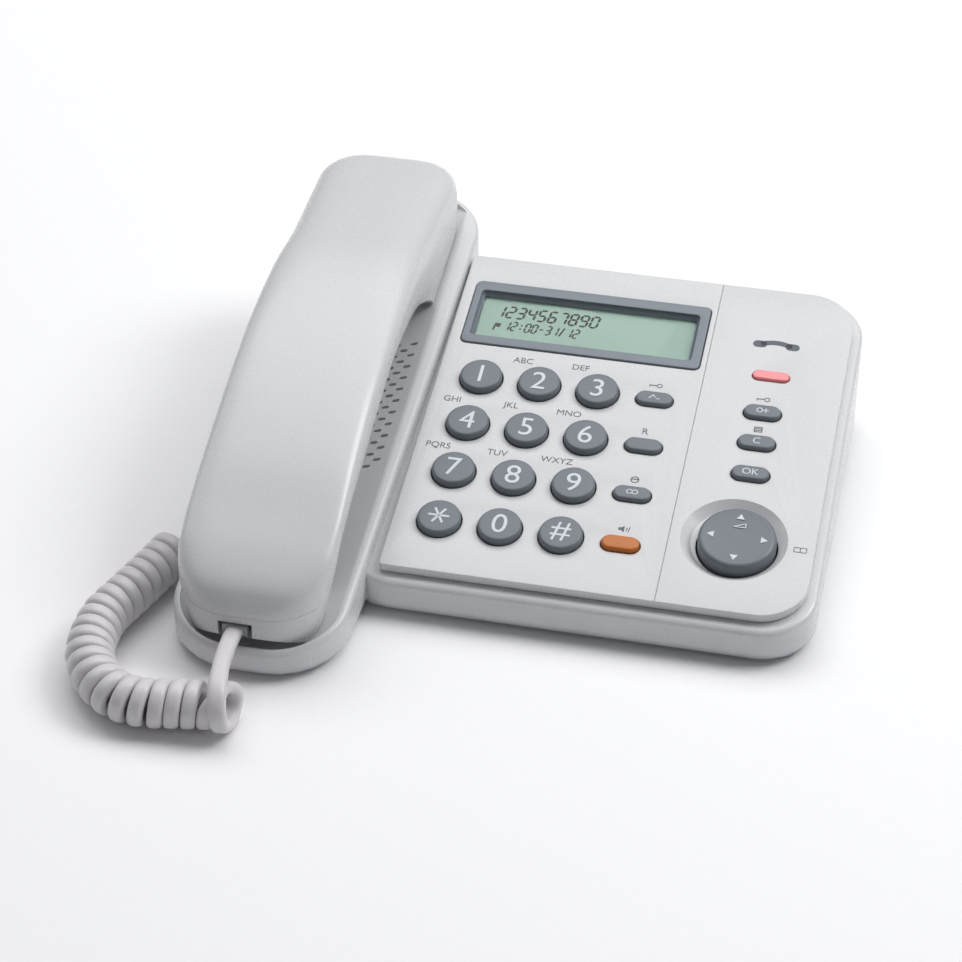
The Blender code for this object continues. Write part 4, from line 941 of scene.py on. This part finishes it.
def cord_path(thick, turn_radius):
    """The cord's centreline with, at each point, its wide direction and its two half sizes."""
    up = Vector((0, 0, 1))
    axis, length = curve_points(COIL_ROUTE, 0.25 * MM)
    count = len(axis)

    def at(u):
        place = min(max(u / length, 0.0), 1.0) * (count - 1)
        i = min(int(place), count - 2)
        point = axis[i].lerp(axis[i + 1], place - i)
        along = (axis[min(i + 6, count - 1)] - axis[max(i - 6, 0)]).normalized()
        a = (axis[min(i + 12, count - 1)] - axis[min(i + 6, count - 2)]).normalized()
        b = (axis[max(i - 6, 1)] - axis[max(i - 12, 0)]).normalized()
        turn = math.asin(max(-1.0, min(1.0, a.cross(b).z))) / (18 * length / (count - 1))
        return point, along, turn

    entries = []
    tail, _ = curve_points(TAIL_ROUTE, 1.2 * MM)
    for point in tail[:-1]:
        entries.append((point, Vector((-1, 0, 0)), 2.6 * MM, thick))
    first = ((0, 4.6), (90, 3.6), (180, 2.2), (270, 1.6), (360, 4.0), (450, 8.2))
    start_u = 8.2 * MM
    turns = (length - start_u - 1.5 * MM) / COIL_PITCH
    last = 360 * int((450 + 360 * turns - 210) / 360) + 210
    degree = 0.0
    while degree <= last:
        if degree <= 450:
            u = blend_value(degree, first) * MM
            radius = turn_radius + blend_value(degree, ((0, 3.7), (60, 3.3), (170, 0.0))) * MM
        else:
            u = start_u + (degree - 450) / 360 * COIL_PITCH
            radius = turn_radius
        point, along, turn = at(u)
        outward = up.cross(along).normalized()
        angle = math.radians(degree)
        offset = radius * math.sin(angle)
        place = point + up * radius * math.cos(angle) + outward * offset
        place.z = max(place.z, thick + 0.1 * MM)
        room = COIL_PITCH * (1 + turn * offset) * 0.97
        wide = blend_value(degree, ((150, 2.75), (450, 2.35))) * MM
        entries.append((place, along, min(wide, room / 2) if degree > 300 else wide, thick))
        degree += 12.0
    tail, _ = curve_points((tuple(entries[-1][0] / MM),) + BASE_TAIL_ROUTE, 1.2 * MM)
    for point in tail[1:]:
        entries.append((point, entries[-1][1], 2.2 * MM, thick + 0.1 * MM))
    spots = [entry[0].copy() for entry in entries]
    for centre, reach, passes in ((24, 20, 6), (len(entries) - len(tail), 12, 24)):
        for _ in range(passes):
            before = [spot.copy() for spot in spots]
            for i in range(max(centre - reach, 2), min(centre + reach, len(spots) - 2)):
                share = 0.5 * math.cos(math.pi / 2 * (i - centre) / reach) ** 2
                spots[i] = before[i].lerp((before[i - 1] + before[i + 1]) / 2, share)
    return [(spot, *entry[1:]) for spot, entry in zip(spots, entries)]


def build_cord(thickness, turn_radius):
    """The curly cord as one flattened PVC tube, from the handset's plug to the base's."""
    entries = cord_path(thickness / 2, turn_radius)
    bm = bmesh.new()
    sides = 14
    rings = []
    for i, (point, wide, half_wide, half_thick) in enumerate(entries):
        before = entries[max(i - 1, 0)][0]
        after = entries[min(i + 1, len(entries) - 1)][0]
        tangent = (after - before).normalized()
        wide = (wide - tangent * wide.dot(tangent)).normalized()
        flat = tangent.cross(wide)
        ring = []
        for k in range(sides):
            a = 2 * math.pi * k / sides
            c = math.cos(a)
            s = math.sin(a)
            ring.append(bm.verts.new(point + wide * half_wide * math.copysign(abs(c) ** 0.7, c)
                                     + flat * half_thick * math.copysign(abs(s) ** 0.7, s)))
        rings.append(ring)
    for a, b in zip(rings, rings[1:]):
        for k in range(sides):
            bm.faces.new((a[k], a[(k + 1) % sides], b[(k + 1) % sides], b[k]))
    bm.faces.new(list(reversed(rings[0])))
    bm.faces.new(rings[-1])
    bmesh.ops.recalc_face_normals(bm, faces=bm.faces)
    cord = link_bmesh("curly_cord", bm)
    cord.data.materials.append(FINISH["cord"])
    smooth(cord, 60)
    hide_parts("cord_tail_handset", "cord_coil", "cord_tail_base")
    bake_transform(cord)


def dress_frame():
    """Finishes for the frame's own solids that stay in view."""
    finishes = {
        "bottom_cover": "underside", "battery_cover": "underside", "battery_cell_1": "cell",
        "battery_cell_2": "cell", "battery_cell_3": "cell", "navigation_pivot": "black", "key_mat": "rubber",
        "main_board": "board", "loudspeaker": "steel", "hook_plunger": "black", "hook_switch": "black",
        "hook_spring": "steel", "line_jack": "black", "handset_cord_jack": "black",
        "foot_front_right": "rubber", "foot_back_right": "rubber", "foot_front_left": "rubber",
        "foot_back_left": "rubber", "case_screw_1": "steel", "case_screw_2": "steel", "case_screw_3": "steel",
        "case_screw_4": "steel", "receiver_capsule": "black", "microphone": "steel",
        "handset_socket": "black",
        "cord_plug_handset": "plug", "cord_plug_base": "plug"}
    for node, finish in finishes.items():
        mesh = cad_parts[node].data
        mesh.materials.clear()
        mesh.materials.append(FINISH[finish])


def build_stage(stage):
    """Pale floor and backdrop, soft studio lights and the camera."""
    made, tree, shader = start_material("Paper matt white", 0.9)
    place = add_node(tree, "ShaderNodeTexCoord").outputs["Object"]
    fibre = add_node(tree, "ShaderNodeTexNoise", None, {"Vector": place, "Scale": 300.0, "Detail": 2.0})
    tone = add_node(tree, "ShaderNodeMix", {"data_type": "RGBA"},
                    {"Factor": fibre.outputs["Fac"], 6: linear("FBFBFC"), 7: linear("F8F8FA")})
    tree.links.new(tone.outputs[2], shader.inputs["Base Color"])
    bm = bmesh.new()
    bmesh.ops.create_grid(bm, x_segments=2, y_segments=2, size=3)
    floor = link_bmesh("floor", bm)
    floor.data.materials.append(made)
    world = bpy.data.worlds.new("studio")
    world.use_nodes = True
    world.node_tree.nodes["Background"].inputs["Color"].default_value = linear("F4F6FA")
    world.node_tree.nodes["Background"].inputs["Strength"].default_value = stage.sky
    bpy.context.scene.world = world
    lamps = (("overhead", (-0.1, 0.8, 1.7), (0, 0, 0), (2.2, 1.4), stage.overhead),
             ("right", (0.9, 0.35, 1.1), (-0.05, 0, 0.03), (0.6, 0.6), stage.side),
             ("left", (-1.2, 0.4, 0.9), (0, 0, 0.03), (0.8, 0.8), stage.side / 5))
    for name, place, aim, size, power in lamps:
        lamp = bpy.data.lights.new(name, "AREA")
        lamp.shape = "RECTANGLE"
        lamp.size = size[0]
        lamp.size_y = size[1]
        lamp.energy = power
        obj = bpy.data.objects.new(name, lamp)
        obj.location = place
        obj.rotation_euler = (Vector(aim) - Vector(place)).to_track_quat("-Z", "Y").to_euler()
        bpy.context.scene.collection.objects.link(obj)
    camera = bpy.data.cameras.new("camera")
    camera.lens = 101.14
    camera.sensor_width = 36
    eye = Vector((0.12897, -0.67703, 0.53224))
    view = Vector((-0.169554, 0.778038, -0.604903))
    obj = bpy.data.objects.new("camera", camera)
    obj.location = eye
    obj.rotation_euler = view.to_track_quat("-Z", "Y").to_euler()
    bpy.context.scene.collection.objects.link(obj)
    bpy.context.scene.camera = obj
    bpy.context.scene.view_settings.view_transform = "Standard"


class TelephoneColours(bpy.types.PropertyGroup):
    """Colours of the finishes."""

    white: FloatVectorProperty(name="Housing", description="Housing, covers and handset", subtype="COLOR",
                               min=0, max=1, default=linear("D4D5D7")[:3])
    underside: FloatVectorProperty(name="Underside", description="Bottom cover", subtype="COLOR",
                                   min=0, max=1, default=linear("CED1D4")[:3])
    key: FloatVectorProperty(name="Keys", description="Grey key caps", subtype="COLOR",
                             min=0, max=1, default=linear("6F767D")[:3])
    orange: FloatVectorProperty(name="Loudspeaker key", description="The one bright key cap", subtype="COLOR",
                                min=0, max=1, default=linear("C46E20")[:3])
    bezel: FloatVectorProperty(name="Display frame", description="Frame round the display", subtype="COLOR",
                               min=0, max=1, default=linear("7A828B")[:3])
    display: FloatVectorProperty(name="Display", description="Foil behind the figures", subtype="COLOR",
                                 min=0, max=1, default=linear("BCD3CF")[:3])
    lamp: FloatVectorProperty(name="Lamp lens", description="Tinted lens of the message lamp",
                              subtype="COLOR", min=0, max=1, default=linear("F58E92")[:3])
    cord: FloatVectorProperty(name="Cord", description="Sleeve of the curly cord", subtype="COLOR",
                              min=0, max=1, default=linear("D6D3D6")[:3])


class TelephoneSizes(bpy.types.PropertyGroup):
    """Sizes that can change without moving a frame solid."""

    figure: FloatProperty(name="Dial figure", description="Type size of the figures on the dial keys",
                          default=10.6 * MM, min=4 * MM, max=13 * MM, unit="LENGTH")
    cord: FloatProperty(name="Cord thickness", description="Thin side of the flattened cord",
                        default=3.8 * MM, min=2 * MM, max=4.2 * MM, unit="LENGTH")
    turn: FloatProperty(name="Coil radius", description="Radius of the coil's centreline",
                        default=5.5 * MM, min=4 * MM, max=5.8 * MM, unit="LENGTH")


class TelephoneStage(bpy.types.PropertyGroup):
    """Strength of the studio lights."""

    sky: FloatProperty(name="Sky", description="Brightness of the even surround", default=0.2, min=0, max=4)
    overhead: FloatProperty(name="Overhead", description="Large softbox above and behind", default=25, min=0,
                            max=200, unit="POWER")
    side: FloatProperty(name="Side", description="Softbox at the right; a fifth of it at the left",
                        default=9.5, min=0, max=200, unit="POWER")


def require(obj_names):
    """Raise unless every named object was built."""
    missing = [name for name in obj_names if name not in bpy.data.objects]
    if missing:
        raise RuntimeError("not built: " + ", ".join(missing))


class TELEPHONE_OT_finishes(bpy.types.Operator):
    """Make every finish from the colours in the panel"""

    bl_idname = "telephone.finishes"
    bl_label = "Finishes"

    def execute(self, context):
        FINISH.update(make_materials(context.scene.telephone_colours))
        return {"FINISHED"}


class TELEPHONE_OT_stage(bpy.types.Operator):
    """Lay the floor and place the lights and the camera"""

    bl_idname = "telephone.stage"
    bl_label = "Stage"

    def execute(self, context):
        build_stage(context.scene.telephone_stage)
        require(["floor", "camera"])
        return {"FINISHED"}


class TELEPHONE_OT_cord(bpy.types.Operator):
    """Build the curly cord"""

    bl_idname = "telephone.cord"
    bl_label = "Curly cord"

    def execute(self, context):
        sizes = context.scene.telephone_sizes
        build_cord(sizes.cord, sizes.turn)
        require(["curly_cord"])
        return {"FINISHED"}


class TELEPHONE_OT_housing(bpy.types.Operator):
    """Build the upper housing with its cradle"""

    bl_idname = "telephone.housing"
    bl_label = "Housing"

    def execute(self, context):
        build_housing()
        require(["housing_shell"])
        return {"FINISHED"}


class TELEPHONE_OT_covers(bpy.types.Operator):
    """Build the keypad cover and the function panel"""

    bl_idname = "telephone.covers"
    bl_label = "Covers"

    def execute(self, context):
        build_covers()
        require(["keypad_face", "function_face"])
        return {"FINISHED"}


class TELEPHONE_OT_display(bpy.types.Operator):
    """Build the display, its frame and the message lamp's lens"""

    bl_idname = "telephone.display"
    bl_label = "Display and lamp"

    def execute(self, context):
        build_display()
        require(["display_frame", "display_pane", "lamp_cover"])
        return {"FINISHED"}


class TELEPHONE_OT_keys(bpy.types.Operator):
    """Build the dial keys and the oval keys with their figures"""

    bl_idname = "telephone.keys"
    bl_label = "Keys"

    def execute(self, context):
        build_keys(context.scene.telephone_sizes.figure)
        require(["dial_cap_1", "ok_key_cap"])
        return {"FINISHED"}


class TELEPHONE_OT_signs(bpy.types.Operator):
    """Print the small signs beside the keys"""

    bl_idname = "telephone.signs"
    bl_label = "Printed signs"

    def execute(self, context):
        build_signs()
        require(["handset_sign"])
        return {"FINISHED"}


class TELEPHONE_OT_navigation(bpy.types.Operator):
    """Build the round navigation key"""

    bl_idname = "telephone.navigation"
    bl_label = "Navigation key"

    def execute(self, context):
        build_navigation()
        require(["navigation_disc"])
        return {"FINISHED"}


class TELEPHONE_OT_handset(bpy.types.Operator):
    """Build the two handset shells"""

    bl_idname = "telephone.handset"
    bl_label = "Handset"

    def execute(self, context):
        build_handset()
        require(["handset_upper", "handset_lower"])
        return {"FINISHED"}


class TELEPHONE_OT_frame_parts(bpy.types.Operator):
    """Give the frame's own solids their finishes"""

    bl_idname = "telephone.frame_parts"
    bl_label = "Frame parts"

    def execute(self, context):
        dress_frame()
        return {"FINISHED"}


OPERATORS = (TELEPHONE_OT_finishes, TELEPHONE_OT_stage, TELEPHONE_OT_cord, TELEPHONE_OT_housing,
             TELEPHONE_OT_covers, TELEPHONE_OT_display, TELEPHONE_OT_keys, TELEPHONE_OT_signs,
             TELEPHONE_OT_navigation, TELEPHONE_OT_handset, TELEPHONE_OT_frame_parts)


class TELEPHONE_PT_panel(bpy.types.Panel):
    """Settings and build steps of the telephone"""

    bl_idname = "TELEPHONE_PT_panel"
    bl_label = "Telephone"
    bl_space_type = "VIEW_3D"
    bl_region_type = "UI"
    bl_category = "Telephone"

    def draw(self, context):
        for group in (context.scene.telephone_colours, context.scene.telephone_sizes,
                      context.scene.telephone_stage):
            column = self.layout.column(align=True)
            for name in group.__annotations__:
                column.prop(group, name)
        for operator in OPERATORS:
            self.layout.operator(operator.bl_idname)


CLASSES = (TelephoneColours, TelephoneSizes, TelephoneStage, *OPERATORS, TELEPHONE_PT_panel)


def register():
    """Register the classes and hang the settings on the scene."""
    for cls in CLASSES:
        bpy.utils.register_class(cls)
    bpy.types.Scene.telephone_colours = PointerProperty(type=TelephoneColours)
    bpy.types.Scene.telephone_sizes = PointerProperty(type=TelephoneSizes)
    bpy.types.Scene.telephone_stage = PointerProperty(type=TelephoneStage)


def unregister():
    """Take the settings and the classes away again."""
    del bpy.types.Scene.telephone_stage
    del bpy.types.Scene.telephone_sizes
    del bpy.types.Scene.telephone_colours
    for cls in reversed(CLASSES):
        bpy.utils.unregister_class(cls)


def main():
    """Register the add-on and run its build steps in order."""
    register()
    for step in (bpy.ops.telephone.finishes, bpy.ops.telephone.stage, bpy.ops.telephone.cord,
                 bpy.ops.telephone.housing, bpy.ops.telephone.covers, bpy.ops.telephone.display,
                 bpy.ops.telephone.keys, bpy.ops.telephone.signs, bpy.ops.telephone.navigation,
                 bpy.ops.telephone.handset, bpy.ops.telephone.frame_parts):
        if step() != {"FINISHED"}:
            raise RuntimeError("a build step did not finish")


if __name__ == "__main__":
    main()
